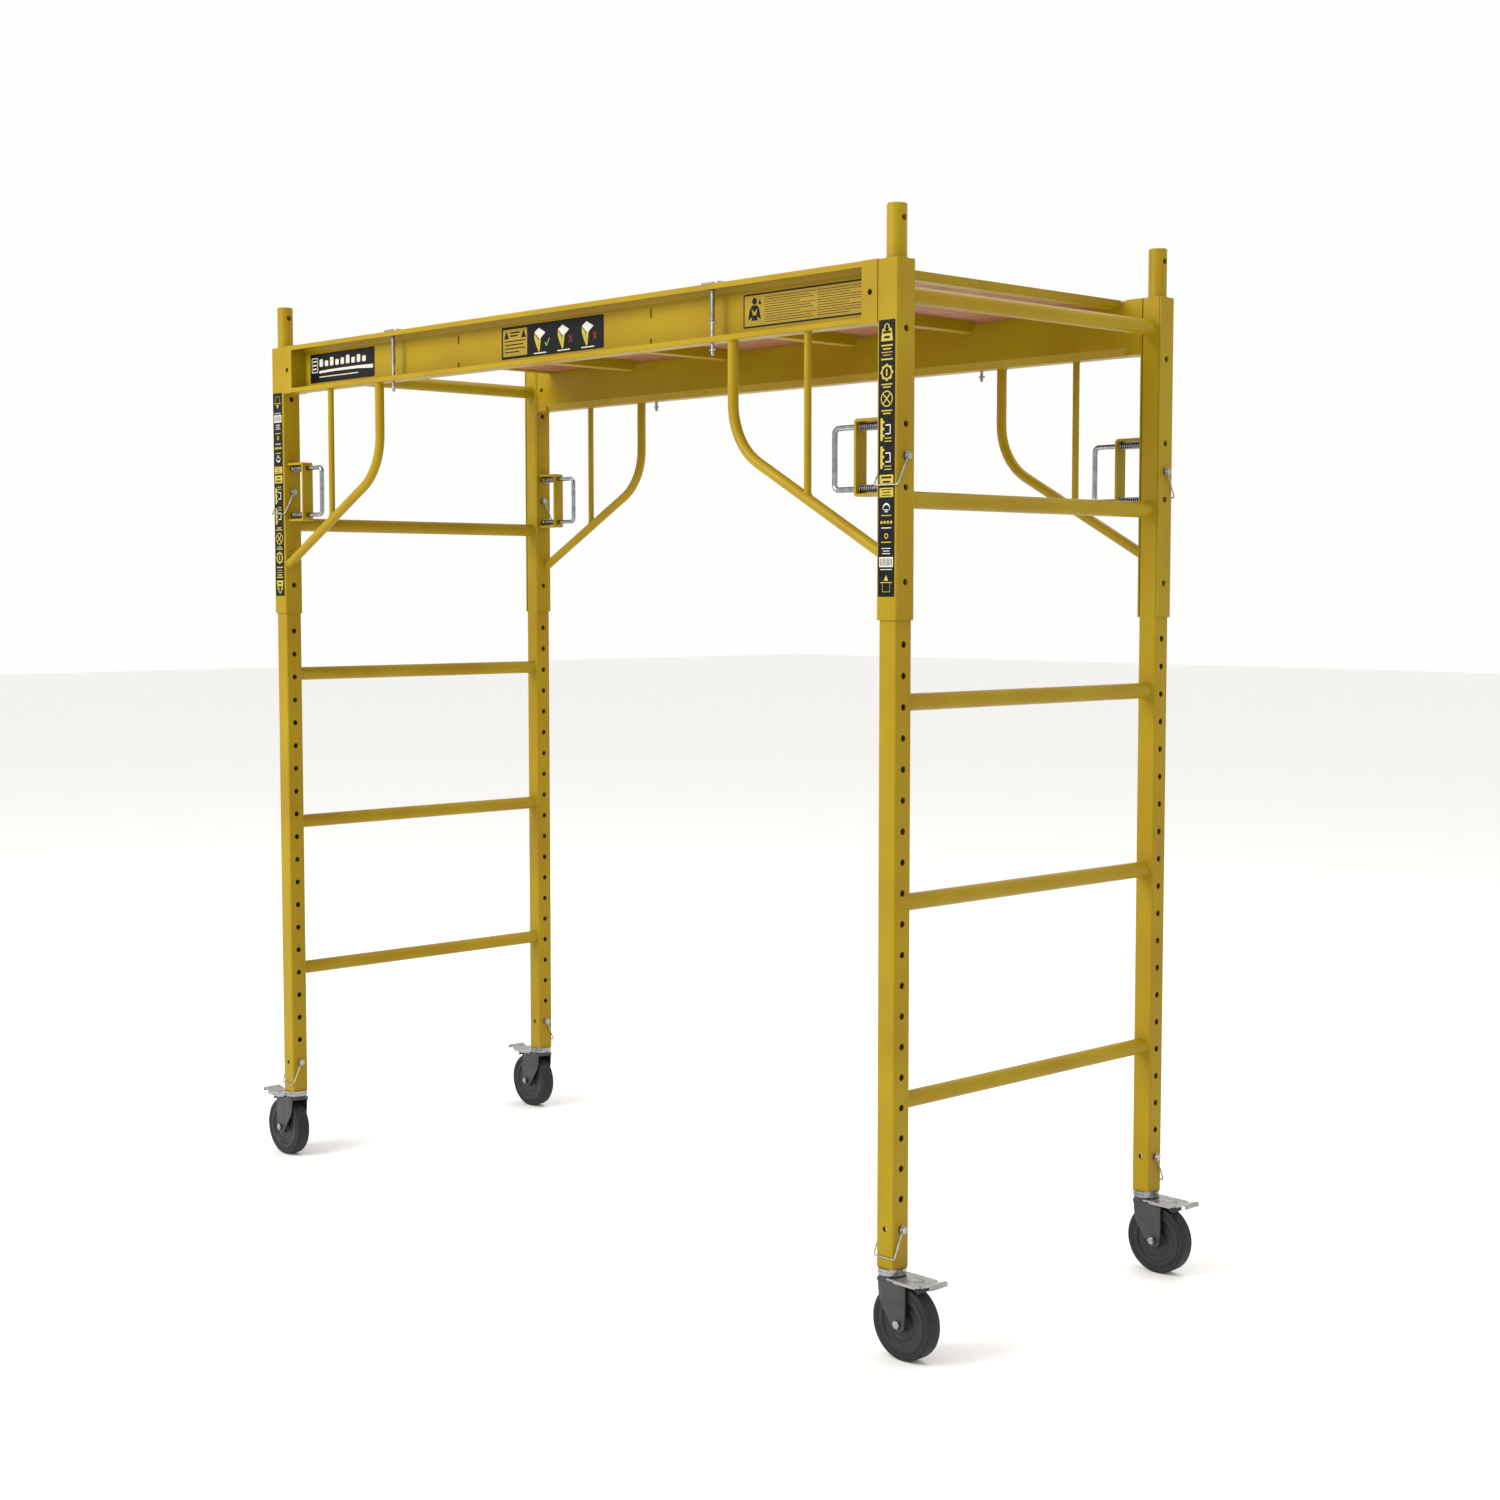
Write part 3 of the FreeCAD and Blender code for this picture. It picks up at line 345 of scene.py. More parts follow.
def dipped_coat(colours):
    """Dark electro-dipped coat on pressed steel: nearly black, satin, with a very fine texture."""
    name = "electro-dipped steel, dark"
    finish = clouded_finish(name, colours.dipped, colours.dipped_light, 28, (0.3, 0.7))
    material, tree, shader, place, _ = finish
    fine = add(tree, NOISE, {"Vector": place, "Scale": grains(1.6)})
    set_inputs(tree, shader, {
        "Roughness": add(tree, RANGE, (fine, 0.3, 0.7, 0.34, 0.5)),
        "Specular IOR Level": 0.35,
        "Normal": add(tree, BUMP, {"Height": fine, "Distance": 0.03 * MM, "Strength": 0.5}),
    })
    return material


def moulded_tread(colours):
    """Moulded rubber tread: charcoal, matt, with a fine mould texture and a little dust."""
    name, tones = "moulded rubber tread", (colours.rubber, colours.rubber_dusty)
    finish = clouded_finish(name, *tones, 16, (0.5, 0.75), detail=4, roughness=0.65, most=0.5)
    material, tree, shader, place, dust = finish
    fine = add(tree, NOISE, {"Vector": place, "Scale": grains(1.4)})
    set_inputs(tree, shader, {
        "Roughness": add(tree, RANGE, (dust, 0.3, 0.7, 0.5, 0.68)),
        "Specular IOR Level": 0.25,
        "Normal": add(tree, BUMP, {"Height": fine, "Distance": 0.06 * MM, "Strength": 0.6}),
    })
    return material


def moulded_core(colours):
    """Injection-moulded polypropylene core: charcoal, a little glossier than the tread."""
    name = "moulded polypropylene core"
    finish = clouded_finish(name, colours.core, colours.rubber, 20, (0.35, 0.7))
    material, tree, shader, place, flow = finish
    fine = add(tree, NOISE, {"Vector": place, "Scale": grains(1.2), "Detail": 1})
    set_inputs(tree, shader, {
        "Roughness": add(tree, RANGE, (flow, 0.3, 0.7, 0.36, 0.48)),
        "Specular IOR Level": 0.3,
        "Normal": add(tree, BUMP, {"Height": fine, "Distance": 0.03 * MM, "Strength": 0.5}),
    })
    return material


def printed_vinyl(name, colour):
    """Screen-printed vinyl film: flat colour under a clear film, slightly uneven in its gloss."""
    name, tones = f"printed vinyl, {name}", (colour, darker(colour, 0.8))
    material, tree, shader, place, ink = clouded_finish(name, *tones, 9, (0.35, 0.7), most=0.5)
    waves = add(tree, NOISE, {"Vector": place, "Scale": grains(3)})
    set_inputs(tree, shader, {
        "Roughness": add(tree, RANGE, (ink, 0.3, 0.7, 0.3, 0.42)),
        "Specular IOR Level": 0.15,
        "Normal": add(tree, BUMP, {"Height": waves, "Distance": 0.02 * MM, "Strength": 0.4}),
    })
    return material


def floor_paint(colours):
    """Matt studio floor paint, very pale, with a barely visible roller texture."""
    name, tones = "matt floor paint, pale", (colours.floor, darker(colours.floor, 0.97))
    material, tree, shader, *_ = clouded_finish(name, *tones, 240, (0, 1), detail=4)
    set_inputs(tree, shader, {"Roughness": 0.75, "Specular IOR Level": 0.2})
    return material


# ---- meshes ----
def turned(centre, half_profile, steps, segments):
    """A closed ring round the Y axis through a centre, the same on both its sides.

    Half its profile is given, as corners (radius, y, fillet) from one side to the middle or back.
    """
    mirrored = [(r, -y, fillet) for r, y, fillet in reversed(half_profile)]
    profile = filleted([*half_profile, *mirrored], steps)
    bm = bmesh.new()
    rings = []
    for i in range(segments):
        angle = math.tau * i / segments
        places = [(r * math.cos(angle), y, r * math.sin(angle)) for r, y in profile]
        rings.append([bm.verts.new(centre + Vector(place)) for place in places])
    join_rings(bm, [*rings, rings[0]])
    return bm


def join_rings(bm, rings):
    """Faces between each ring of corners and the next."""
    faces = []
    for ring, following in zip(rings, rings[1:]):
        for j in range(len(ring)):
            k = (j + 1) % len(ring)
            faces.append(bm.faces.new((ring[j], ring[k], following[k], following[j])))
    return faces


def filleted(corners, steps):
    """Profile points with each (x, y, radius) corner rounded by a short arc."""
    points = []
    count = len(corners)
    for i, (x, y, radius) in enumerate(corners):
        here = Vector((x, y))
        if radius == 0:
            points.append((x, y))
            continue
        to_last = (Vector(corners[i - 1][:2]) - here).normalized()
        to_next = (Vector(corners[(i + 1) % count][:2]) - here).normalized()
        half = to_last.angle(to_next) / 2
        centre = here + (to_last + to_next).normalized() * (radius / math.sin(half))
        start = here + to_last * (radius / math.tan(half)) - centre
        end = here + to_next * (radius / math.tan(half)) - centre
        for step in range(steps + 1):
            arm = start.lerp(end, step / steps).normalized() * radius
            points.append(tuple(centre + arm))
    return points


def mesh_from(bm, name, materials, smooth_below=38):
    """A finished mesh whose normals point outwards, smooth except at its sharp edges."""
    bmesh.ops.recalc_face_normals(bm, faces=bm.faces)
    mesh = bpy.data.meshes.new(name)
    bm.to_mesh(mesh)
    bm.free()
    for material in materials:
        mesh.materials.append(material)
    mesh.shade_smooth()
    mesh.set_sharp_from_angle(angle=math.radians(smooth_below))
    return mesh


def linked(name, data):
    """A new object in the scene."""
    new = bpy.data.objects.new(name, data)
    bpy.context.scene.collection.objects.link(new)
    return new


def placed(name, mesh, body, replaces=()):
    """Shows a mesh as a piece that rides on a body."""
    piece = linked(name, mesh)
    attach(piece, body)
    if replaces:
        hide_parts(*replaces)
    return piece


def grown(name, points, edges, tree, values):
    """The plain mesh that a Geometry Nodes tree grows on some points and edges."""
    base = bpy.data.meshes.new(f"{name}_base")
    base.from_pydata(points, edges, [])
    source = linked(f"{name}_base", base)
    modifier = source.modifiers.new("Grow", "NODES")
    modifier.node_group = tree
    for item in tree.interface.items_tree:
        if item.item_type == "SOCKET" and item.in_out == "INPUT" and item.name in values:
            modifier[item.identifier] = values[item.name]
    evaluated = source.evaluated_get(bpy.context.evaluated_depsgraph_get())
    mesh = bpy.data.meshes.new_from_object(evaluated)
    mesh.name = name
    source.modifiers.clear()
    bpy.data.objects.remove(source)
    bpy.data.meshes.remove(base)
    return mesh


# ---- Geometry Nodes trees ----
def new_tree(name, sockets):
    """A tree with named inputs, each a (name, kind of socket, default)."""
    tree = bpy.data.node_groups.new(name, "GeometryNodeTree")
    tree.interface.new_socket("Geometry", in_out="INPUT", socket_type="NodeSocketGeometry")
    tree.interface.new_socket("Geometry", in_out="OUTPUT", socket_type="NodeSocketGeometry")
    for socket_name, kind, default in (*sockets, ("Finish", "Material", None)):
        kind = f"NodeSocket{kind}"
        socket = tree.interface.new_socket(socket_name, in_out="INPUT", socket_type=kind)
        if default is not None:
            socket.default_value = default
    return tree, tree.nodes.new("NodeGroupInput").outputs


def end_tree(tree, geometry, given):
    """Ends a tree in Realize Instances and Set Material."""
    real = add(tree, "GeometryNodeRealizeInstances", {"Geometry": geometry})
    looks = {"Geometry": real, "Material": given["Finish"]}
    painted = add(tree, "GeometryNodeSetMaterial", looks)
    add(tree, "NodeGroupOutput", {"Geometry": painted})
    return tree


def coil_tree():
    """A compression spring with closed ends, grown from each point of the base."""
    tree, given = new_tree(
        "Compression Spring",
        (
            ("Wire", "Float", 1.4 * MM),
            ("Coil Radius", "Float", 6 * MM),
            ("Length", "Float", 50 * MM),
            ("Turns", "Float", 10.0),
            ("Direction", "Vector", (0, 0, 0)),
        ),
    )
    # Each end has 1.2 dead turns, which rise by only 1.25 of the wire
    dead = add(tree, MATH, (1.2, given["Turns"]), operation="DIVIDE")
    live_end = add(tree, MATH, (1.0, dead), operation="SUBTRACT")
    dead_height = add(tree, MATH, (given["Wire"], 1.25), operation="MULTIPLY")
    both = add(tree, MATH, (dead_height, 2.0), operation="MULTIPLY")
    live_height = add(tree, MATH, (given["Length"], both), operation="SUBTRACT")
    spiral = add(tree, "GeometryNodeCurveSpiral", {
        "Resolution": COIL_RESOLUTION,
        "Rotations": given["Turns"],
        "Start Radius": given["Coil Radius"],
        "End Radius": given["Coil Radius"],
        "Height": given["Length"],
    })
    here = add(tree, SPLIT, (add(tree, "GeometryNodeInputPosition"),)).outputs
    share = add(tree, MATH, (here["Z"], given["Length"]), operation="DIVIDE")
    height = add(tree, RANGE, (share, 0.0, dead, 0.0, dead_height))
    for start, end, rise in ((dead, live_end, live_height), (live_end, 1.0, dead_height)):
        more = add(tree, RANGE, (share, start, end, 0.0, rise))
        height = add(tree, MATH, (height, more), operation="ADD")
    spot = add(tree, JOIN, (here["X"], here["Y"], height))
    line = add(tree, "GeometryNodeSetPosition", {"Geometry": spiral, "Position": spot})
    thin = add(tree, MATH, (given["Wire"], 0.5), operation="MULTIPLY")
    section = {"Resolution": WIRE_SIDES, "Radius": thin}
    section = add(tree, "GeometryNodeCurvePrimitiveCircle", section)
    swept = {"Curve": line, "Profile Curve": section, "Fill Caps": True}
    wire = add(tree, "GeometryNodeCurveToMesh", swept)
    places = {"Points": given["Geometry"], "Instance": wire, "Rotation": given["Direction"]}
    return end_tree(tree, add(tree, "GeometryNodeInstanceOnPoints", places), given)


def bead_tree():
    """A weld bead along every edge path of the base, swollen by a seventh at each ripple."""
    sockets = (("Radius", "Float", 2 * MM), ("Ripple", "Float", 3 * MM))
    tree, given = new_tree("Weld Bead", sockets)
    path = add(tree, "GeometryNodeMeshToCurve", {"Mesh": given["Geometry"]})
    step = add(tree, MATH, (given["Ripple"], 4.0), operation="DIVIDE")
    steps = {"Curve": path, "Length": step}
    fine = add(tree, "GeometryNodeResampleCurve", steps, mode="LENGTH")
    along = add(tree, "GeometryNodeSplineParameter").outputs["Length"]
    phase = add(tree, MATH, (along, given["Ripple"]), operation="DIVIDE")
    phase = add(tree, MATH, (phase, math.tau), operation="MULTIPLY")
    swell = add(tree, MATH, (phase,), operation="SINE")
    swell = add(tree, MATH, (swell, 0.14), operation="MULTIPLY")
    swell = add(tree, MATH, (swell, 1.0), operation="ADD")
    scale = add(tree, MATH, (swell, given["Radius"]), operation="MULTIPLY")
    section = {"Resolution": BEAD_SIDES, "Radius": 1.0}
    section = add(tree, "GeometryNodeCurvePrimitiveCircle", section)
    swept = {"Curve": fine, "Profile Curve": section, "Scale": scale, "Fill Caps": True}
    return end_tree(tree, add(tree, "GeometryNodeCurveToMesh", swept), given)


def copies_tree():
    """A small object set on every point of the base, each turned by its own random angle."""
    sockets = (("Piece", "Object", None), ("Seed", "Int", SCREW_SEED))
    tree, given = new_tree("Scattered Fasteners", sockets)
    piece = add(tree, "GeometryNodeObjectInfo", {"Object": given["Piece"]}).outputs["Geometry"]
    turn = add(tree, "FunctionNodeRandomValue", (0.0, math.tau), data_type="FLOAT")
    set_inputs(tree, turn, {"Seed": given["Seed"]})
    angle = add(tree, JOIN, {"Z": turn})
    places = {"Points": given["Geometry"], "Instance": piece, "Rotation": angle}
    return end_tree(tree, add(tree, "GeometryNodeInstanceOnPoints", places), given)


# ---- settings ----
def colour_property(name, description, code):
    return bpy.props.FloatVectorProperty(
        name=name, description=description, default=srgb(code),
        size=4, subtype="COLOR", min=0, max=1,
    )


def length_property(name, description, millimetres):
    return bpy.props.FloatProperty(
        name=name, description=description, default=millimetres * MM,
        unit="LENGTH", subtype="DISTANCE", min=0,
    )


class ScaffoldColours(bpy.types.PropertyGroup):
    paint: colour_property("Paint", "The powder coat where it is thick", "#967E0A")
    paint_thin: colour_property("Thin paint", "The powder coat where it is thinner", "#8F7208")
    paint_dusty: colour_property("Dusty paint", "The powder coat under a little dust", "#99801E")
    veneer: colour_property("Veneer", "The plywood's face veneer", "#A97D55")
    veneer_dark: colour_property("Dark veneer", "The veneer's darker figure", "#946842")
    veneer_grain: colour_property("Grain", "The late wood in the veneer's grain", "#7C5434")
    veneer_pore: colour_property("Pores", "Pores and glue lines", "#5A3C26")
    # The plywood underside colour below is painted shade, multiplied into the veneer
    underside_shade: colour_property("Underside shade", "Painted shade on the plywood's underside", "#E8C8B0")
    chrome: colour_property("Chrome", "The adjuster rods' plating", "#A3A5A8")
    chrome_dark: colour_property("Dull chrome", "The plating where it is handled", "#7E8083")
    zinc: colour_property("Zinc", "Pins, bails, latches and pedals", "#A9A8A4")
    zinc_dark: colour_property("Dull zinc", "The zinc's darker clouds", "#918F8A")
    spring: colour_property("Spring wire", "The springs' wire", "#8E9094")
    dipped: colour_property("Dipped coat", "The caster forks", "#2A2B2C")
    dipped_light: colour_property("Worn dipped coat", "The forks' lighter patches", "#363739")
    rubber: colour_property("Tread", "The wheels' tread", "#1D1D1E")
    rubber_dusty: colour_property("Dusty tread", "Dust on the tread", "#323233")
    core: colour_property("Wheel core", "The wheels' moulded cores", "#232324")
    decal_black: colour_property("Decal black", "The decals' black ink", "#080707")
    decal_film: colour_property("Decal film", "The rail decals' yellow film", "#9A8024")
    decal_yellow: colour_property("Decal yellow", "The decals' yellow ink", "#B0A03A")
    decal_white: colour_property("Decal white", "The decals' white ink", "#C9C6BB")
    decal_red: colour_property("Decal red", "The decals' red ink", "#8C2A20")
    decal_green: colour_property("Decal green", "The decals' green ink", "#6E9A46")
    floor: colour_property("Floor", "The studio floor", "#F5F4F2")


class ScaffoldSizes(bpy.types.PropertyGroup):
    adjuster_wire: length_property("Adjuster wire", "Wire of the adjusters' springs", 1.6)
    latch_wire: length_property("Latch wire", "Wire of the latches' springs", 1.1)
    adjuster_turns: bpy.props.FloatProperty(
        name="Adjuster turns", description="Turns of each adjuster spring", default=11.5, min=3
    )
    latch_turns: bpy.props.FloatProperty(
        name="Latch turns", description="Turns of each latch spring", default=19.5, min=3
    )
    weld: length_property("Weld", "Radius of the large weld beads", 2.6)
    fine_weld: length_property("Fine weld", "Radius of the small weld beads", 1.7)
    ripple: length_property("Ripple", "Spacing of the welds' ripples", 3.2)
    film: length_property("Film", "Thickness of the decals' vinyl film", 0.25)
    ink: length_property("Ink", "Thickness of the print on the decals", 0.12)


class ScaffoldStudio(bpy.types.PropertyGroup):
    azimuth: bpy.props.FloatProperty(
        name="Azimuth", description="Where the camera looks from",
        default=math.radians(46.48), subtype="ANGLE",
    )
    elevation: bpy.props.FloatProperty(
        name="Elevation", description="How far the camera looks down",
        default=math.radians(4.0), subtype="ANGLE",
    )
    lens: bpy.props.FloatProperty(
        name="Lens", description="Focal length in millimetres on a 36 mm sensor",
        default=53.684, min=1,
    )
    place: bpy.props.FloatVectorProperty(
        name="Place", description="Where the camera stands",
        default=(3.3933, -3.0302, 1.2632), subtype="TRANSLATION", unit="LENGTH",
    )
    floor_size: bpy.props.FloatProperty(
        name="Floor size", description="Width of the studio floor",
        default=60.0, unit="LENGTH", min=1,
    )
    sky: bpy.props.FloatProperty(
        name="Sky", description="Strength of the soft light from all round",
        default=1.0, min=0,
    )
    key: bpy.props.FloatProperty(
        name="Key", description="Power of the large soft light in watts",
        default=350.0, min=0,
    )


# ---- operators ----
class MakeStudio(bpy.types.Operator):
    """Floor, soft lights and camera"""

    bl_idname = "scaffold.make_studio"
    bl_label = "Studio"

    # Each light's place, the height that it is aimed at, its width and its share of the power
    LIGHTS = {
        "key_light": ((-1.5, -5.5, 4.2), 0.9, 3.6, 1.0),
        "fill_light": ((5.5, 0.5, 2.6), 1.0, 3.2, 0.04),
        "top_light": ((0.5, 1.5, 5.2), 1.0, 3.6, 0.25),
    }

    def execute(self, context):
        studio = context.scene.scaffold_studio
        bm = bmesh.new()
        bmesh.ops.create_grid(bm, x_segments=1, y_segments=1, size=studio.floor_size / 2)
        mesh = bpy.data.meshes.new("floor")
        bm.to_mesh(mesh)
        bm.free()
        mesh.materials.append(floor_paint(context.scene.scaffold_colours))
        linked("floor", mesh)
        for name, (place, target, width, share) in self.LIGHTS.items():
            data = bpy.data.lights.new(name, "AREA")
            data.shape = "DISK"
            data.size = width
            data.energy = studio.key * share
            lamp = linked(name, data)
            lamp.location = place
            aim = Vector((0, 0, target)) - Vector(place)
            lamp.rotation_euler = aim.to_track_quat("-Z", "Y").to_euler()
        world = bpy.data.worlds.new("studio")
        world.use_nodes = True
        background = world.node_tree.nodes["Background"]
        background.inputs["Color"].default_value = (1.0, 0.995, 0.985, 1.0)
        background.inputs["Strength"].default_value = studio.sky
        context.scene.world = world
        camera_data = bpy.data.cameras.new("camera")
        camera_data.lens = studio.lens
        camera_data.sensor_width = 36.0
        camera = linked("camera", camera_data)
        camera.location = studio.place
        camera.rotation_euler = (math.pi / 2 - studio.elevation, 0, studio.azimuth)
        context.scene.camera = camera
        context.scene.view_settings.view_transform = "Standard"
        return {"FINISHED"}


class FinishFrames(bpy.types.Operator):
    """Paint, plating and plywood on the frame's own parts"""

    bl_idname = "scaffold.finish_frames"
    bl_label = "Finishes"

    # The finish of each node, by the longest of these that its name starts with
    FINISHES = {
        "": powder_coat,
        "deck_panel": plywood,
        "adjuster_rod": chrome_plate,
        "caster_stems": chrome_plate,
        "caster_axle": chrome_plate,
        "deck_screws": zinc_plate,
        "latch": zinc_plate,
        "caster_lock_pins": zinc_plate,
        "caster_bail": zinc_plate,
        "sleeve_lock_pins": zinc_plate,
        "sleeve_bail": zinc_plate,
        "brake_pedal": pedal_plate,
        "fork": dipped_coat,
        "wheel": moulded_tread,
        "adjuster_springs": spring_steel,
        "latch_springs": spring_steel,
    }

    def execute(self, context):
        made = {}
        for make in self.FINISHES.values():
            if make not in made:
                made[make] = make(context.scene.scaffold_colours)
        for name, node_object in frame["nodes"].items():
            start = max((s for s in self.FINISHES if name.startswith(s)), key=len)
            if not node_object.material_slots:
                node_object.data.materials.append(None)
            for slot in node_object.material_slots:
                slot.material = made[self.FINISHES[start]]
        return {"FINISHED"}


class MakeSprings(bpy.types.Operator):
    """Coil springs of the adjusters and of the latches"""

    bl_idname = "scaffold.make_springs"
    bl_label = "Springs"

    def execute(self, context):
        sizes = context.scene.scaffold_sizes
        tree = coil_tree()
        for corner, (side, _) in CORNERS.items():
            node_name, joint_name = f"adjuster_springs_{corner}", f"adjuster_pull_{corner}"
            low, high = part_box(node_name)
            radius = (high.y - low.y) / 2
            length = high.x - low.x
            y = (low.y + high.y) / 2
            start = low.x if side == RIGHT else high.x
            piece = self.coils(
                tree, f"adjuster_coils_{corner}", node_name,
                [(start, y, low.z + radius), (start, y, high.z - radius)],
                sizes.adjuster_wire, radius, length, sizes.adjuster_turns, side * math.pi / 2,
            )
            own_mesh(piece)
        low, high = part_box("latch_springs")
        spots = [middle(f"latch_{corner}") for corner in CORNERS]
        self.coils(
            tree, "latch_coils", "latch_springs", [(spot.x, spot.y, low.z) for spot in spots],
            sizes.latch_wire, LATCH_COIL_RADIUS, high.z - low.z, sizes.latch_turns, 0,
        )
        return {"FINISHED"}

    @staticmethod
    def coils(tree, name, node_name, points, wire, radius, length, turns, tilt):
        """A spring of the given outer radius from each point, in the place of a node."""
        values = {
            "Wire": wire,
            "Coil Radius": radius - wire / 2,
            "Length": length,
            "Turns": turns,
            "Direction": (0, tilt, 0),
            "Finish": bpy.data.materials["plated spring wire"],
        }
        mesh = grown(name, points, [], tree, values)
        mesh.shade_smooth()
        return placed(name, mesh, "platform", [node_name])

    @staticmethod
    def travel(joint_name):
        joint = next(j for j in frame["joints"] if j["name"] == joint_name)
        return max(abs(limit) for limit in joint["range_m"])


class MakeWelds(bpy.types.Operator):
    """Rippled weld beads where tubes and brackets meet"""

    bl_idname = "scaffold.make_welds"
    bl_label = "Welds"

    def execute(self, context):
        sizes = context.scene.scaffold_sizes
        coat = weld_coat(context.scene.scaffold_colours)
        tree = bead_tree()
        groups = {
            "rung_welds": ("end_frames", sizes.weld, self.rung_paths()),
            "coupling_pin_welds": ("end_frames", sizes.fine_weld, self.pin_paths()),
            "brace_welds": ("platform", sizes.fine_weld, self.brace_paths()),
            "strap_welds": ("platform", sizes.fine_weld, self.strap_paths()),
            "bracket_welds": ("platform", sizes.fine_weld, self.bracket_paths()),
        }
        for name, (body, radius, paths) in groups.items():
            points, edges = [], []
            for path, closed in paths:
                first = len(points)
                points += path
                last = len(points) - 1
                edges += [(i, i + 1) for i in range(first, last)]
                if closed:
                    edges.append((last, first))
            values = {"Radius": radius, "Ripple": sizes.ripple, "Finish": coat}
            mesh = grown(name, points, edges, tree, values)
            mesh.shade_smooth()
            placed(name, mesh, body)
        return {"FINISHED"}

    @staticmethod
    def ring(centre, across, up):
        """A closed path round a centre, through across and up turned against each other."""
        centre, across, up = Vector(centre), Vector(across), Vector(up)
        angles = [math.tau * i / WELD_POINTS for i in range(WELD_POINTS)]
        return [centre + across * math.cos(a) + up * math.sin(a) for a in angles], True

    def rung_paths(self):
        low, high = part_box("rungs")
        r = RUNG_RADIUS
        first, last = low.z + r, high.z - r
        heights = [first + (last - first) * i / (RUNG_COUNT - 1) for i in range(RUNG_COUNT)]
        return [
            self.ring((x, y, z), (r, 0, 0), (0, 0, r))
            for x in (low.x + r, high.x - r)
            for z in heights
            for y in (low.y, high.y)
        ]

    def pin_paths(self):
        r = PIN_WELD_RADIUS
        return [self.ring((p.x, p.y, POST_TOP), (r, 0, 0), (0, r, 0)) for p in POST.values()]

    def brace_paths(self):
        paths = []
        for side_x, side_y in CORNERS.values():
            low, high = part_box("knee_braces_near" if side_y == NEAR else "knee_braces_far")
            y = (low.y + high.y) / 2
            radius = (high.y - low.y) / 2
            tall = radius / math.cos(BRACE_SLOPE)
            foot_z = low.z + tall
            paths.append(self.ring((side_x * SLEEVE_X, y, foot_z), (0, radius, 0), (0, 0, tall)))
            for x, r in ((BRACE_X, radius), (STRUT_X, STRUT_RADIUS)):
                paths.append(self.ring((side_x * x, y, RAIL_LOW.z), (r, 0, 0), (0, r, 0)))

            # The saddle where the strut's foot meets the sloping brace
            saddle = []
            for i in range(SADDLE_POINTS):
                angle = math.tau * i / SADDLE_POINTS
                out, across = STRUT_RADIUS * math.cos(angle), STRUT_RADIUS * math.sin(angle)
                axis_z = foot_z + (SLEEVE_X - STRUT_X - out) * math.tan(BRACE_SLOPE)
                top_z = axis_z + math.sqrt(radius**2 - across**2) / math.cos(BRACE_SLOPE)
                saddle.append(Vector((side_x * (STRUT_X + out), y + across, top_z)))
            paths.append((saddle, True))
        return paths

    def strap_paths(self):
        low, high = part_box("adjuster_straps")
        half = STRAP_WIDTH / 2
        return [
            ([Vector((side_x * SLEEVE_X, POST[corner].y + y, z)) for y in (-half, half)], False)
            for corner, (side_x, _) in CORNERS.items()
            for z in (low.z, high.z)
        ]

    def bracket_paths(self):
        low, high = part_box("rail_brackets")
        front, top = high.y - BRACKET_WELD_INSET, high.z - BRACKET_WELD_DROP
        turn = ((front, low.z), (RAIL_BACK, low.z), (RAIL_BACK, top))
        return [
            ([Vector((side_x * SLEEVE_X, side_y * y, z)) for y, z in turn], False)
            for side_x, side_y in CORNERS.values()
        ]


class MakeScrews(bpy.types.Operator):
    """Flat deck screws with a cross recess, sunk into the deck"""

    bl_idname = "scaffold.make_screws"
    bl_label = "Deck screws"

    def execute(self, context):
        low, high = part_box("deck_screws")
        head = self.head(SCREW_RADIUS, high.z - low.z)
        columns, rows = self.spread(0), self.spread(1)
        points = [(x, y, low.z) for x in columns for y in rows]
        finish = bpy.data.materials["zinc plated steel"]
        values = {"Piece": head, "Seed": SCREW_SEED, "Finish": finish}
        mesh = grown("deck_screw_heads", points, [], copies_tree(), values)
        bpy.data.objects.remove(head)
        placed(mesh.name, mesh, "platform", ["deck_screws"])
        return {"FINISHED"}

    @staticmethod
    def spread(axis):
        """The places along an axis at which the screws stand, on both sides of the middle."""
        vertices = frame["nodes"]["deck_screws"].data.vertices
        distances = sorted(abs(vertex.co[axis]) for vertex in vertices)
        groups = [[distances[0]]]
        for distance in distances[1:]:
            if distance - groups[-1][-1] > SCREW_RADIUS:
                groups.append([])
            groups[-1].append(distance)
        middles = [(group[0] + group[-1]) / 2 for group in groups]
        return sorted({round(side * place, 6) for place in middles for side in (1, -1)})

    @staticmethod
    def head(radius, height):
        """A flat countersunk head with a cross pressed into it."""
        turns = [math.tau * i / SCREW_SIDES for i in range(SCREW_SIDES)]
        near_an_arm = (0, 1, 5)  # of every 6 sides, those that the cross's arms reach
        outline = ((0.5, 0.0), (1.0, 0.9), (0.97, 1.0), (0.74, 1.0))
        cross = ((0.6, 0.2, 1.0), (0.34, 0.12, 0.45))  # reach of arms, reach of corners, level
        levels = [([share] * SCREW_SIDES, level) for share, level in outline]
        for arm, corner, level in cross:
            reaches = [arm if i % 6 in near_an_arm else corner for i in range(SCREW_SIDES)]
            levels.append((reaches, level))
        bm = bmesh.new()
        rings = [
            [
                bm.verts.new((radius * r * math.cos(a), radius * r * math.sin(a), height * level))
                for r, a in zip(reaches, turns)
            ]
            for reaches, level in levels
        ]
        join_rings(bm, rings)
        bm.faces.new(rings[-1])
        bm.faces.new(list(reversed(rings[0])))
        return linked("screw_head", mesh_from(bm, "screw_head", []))


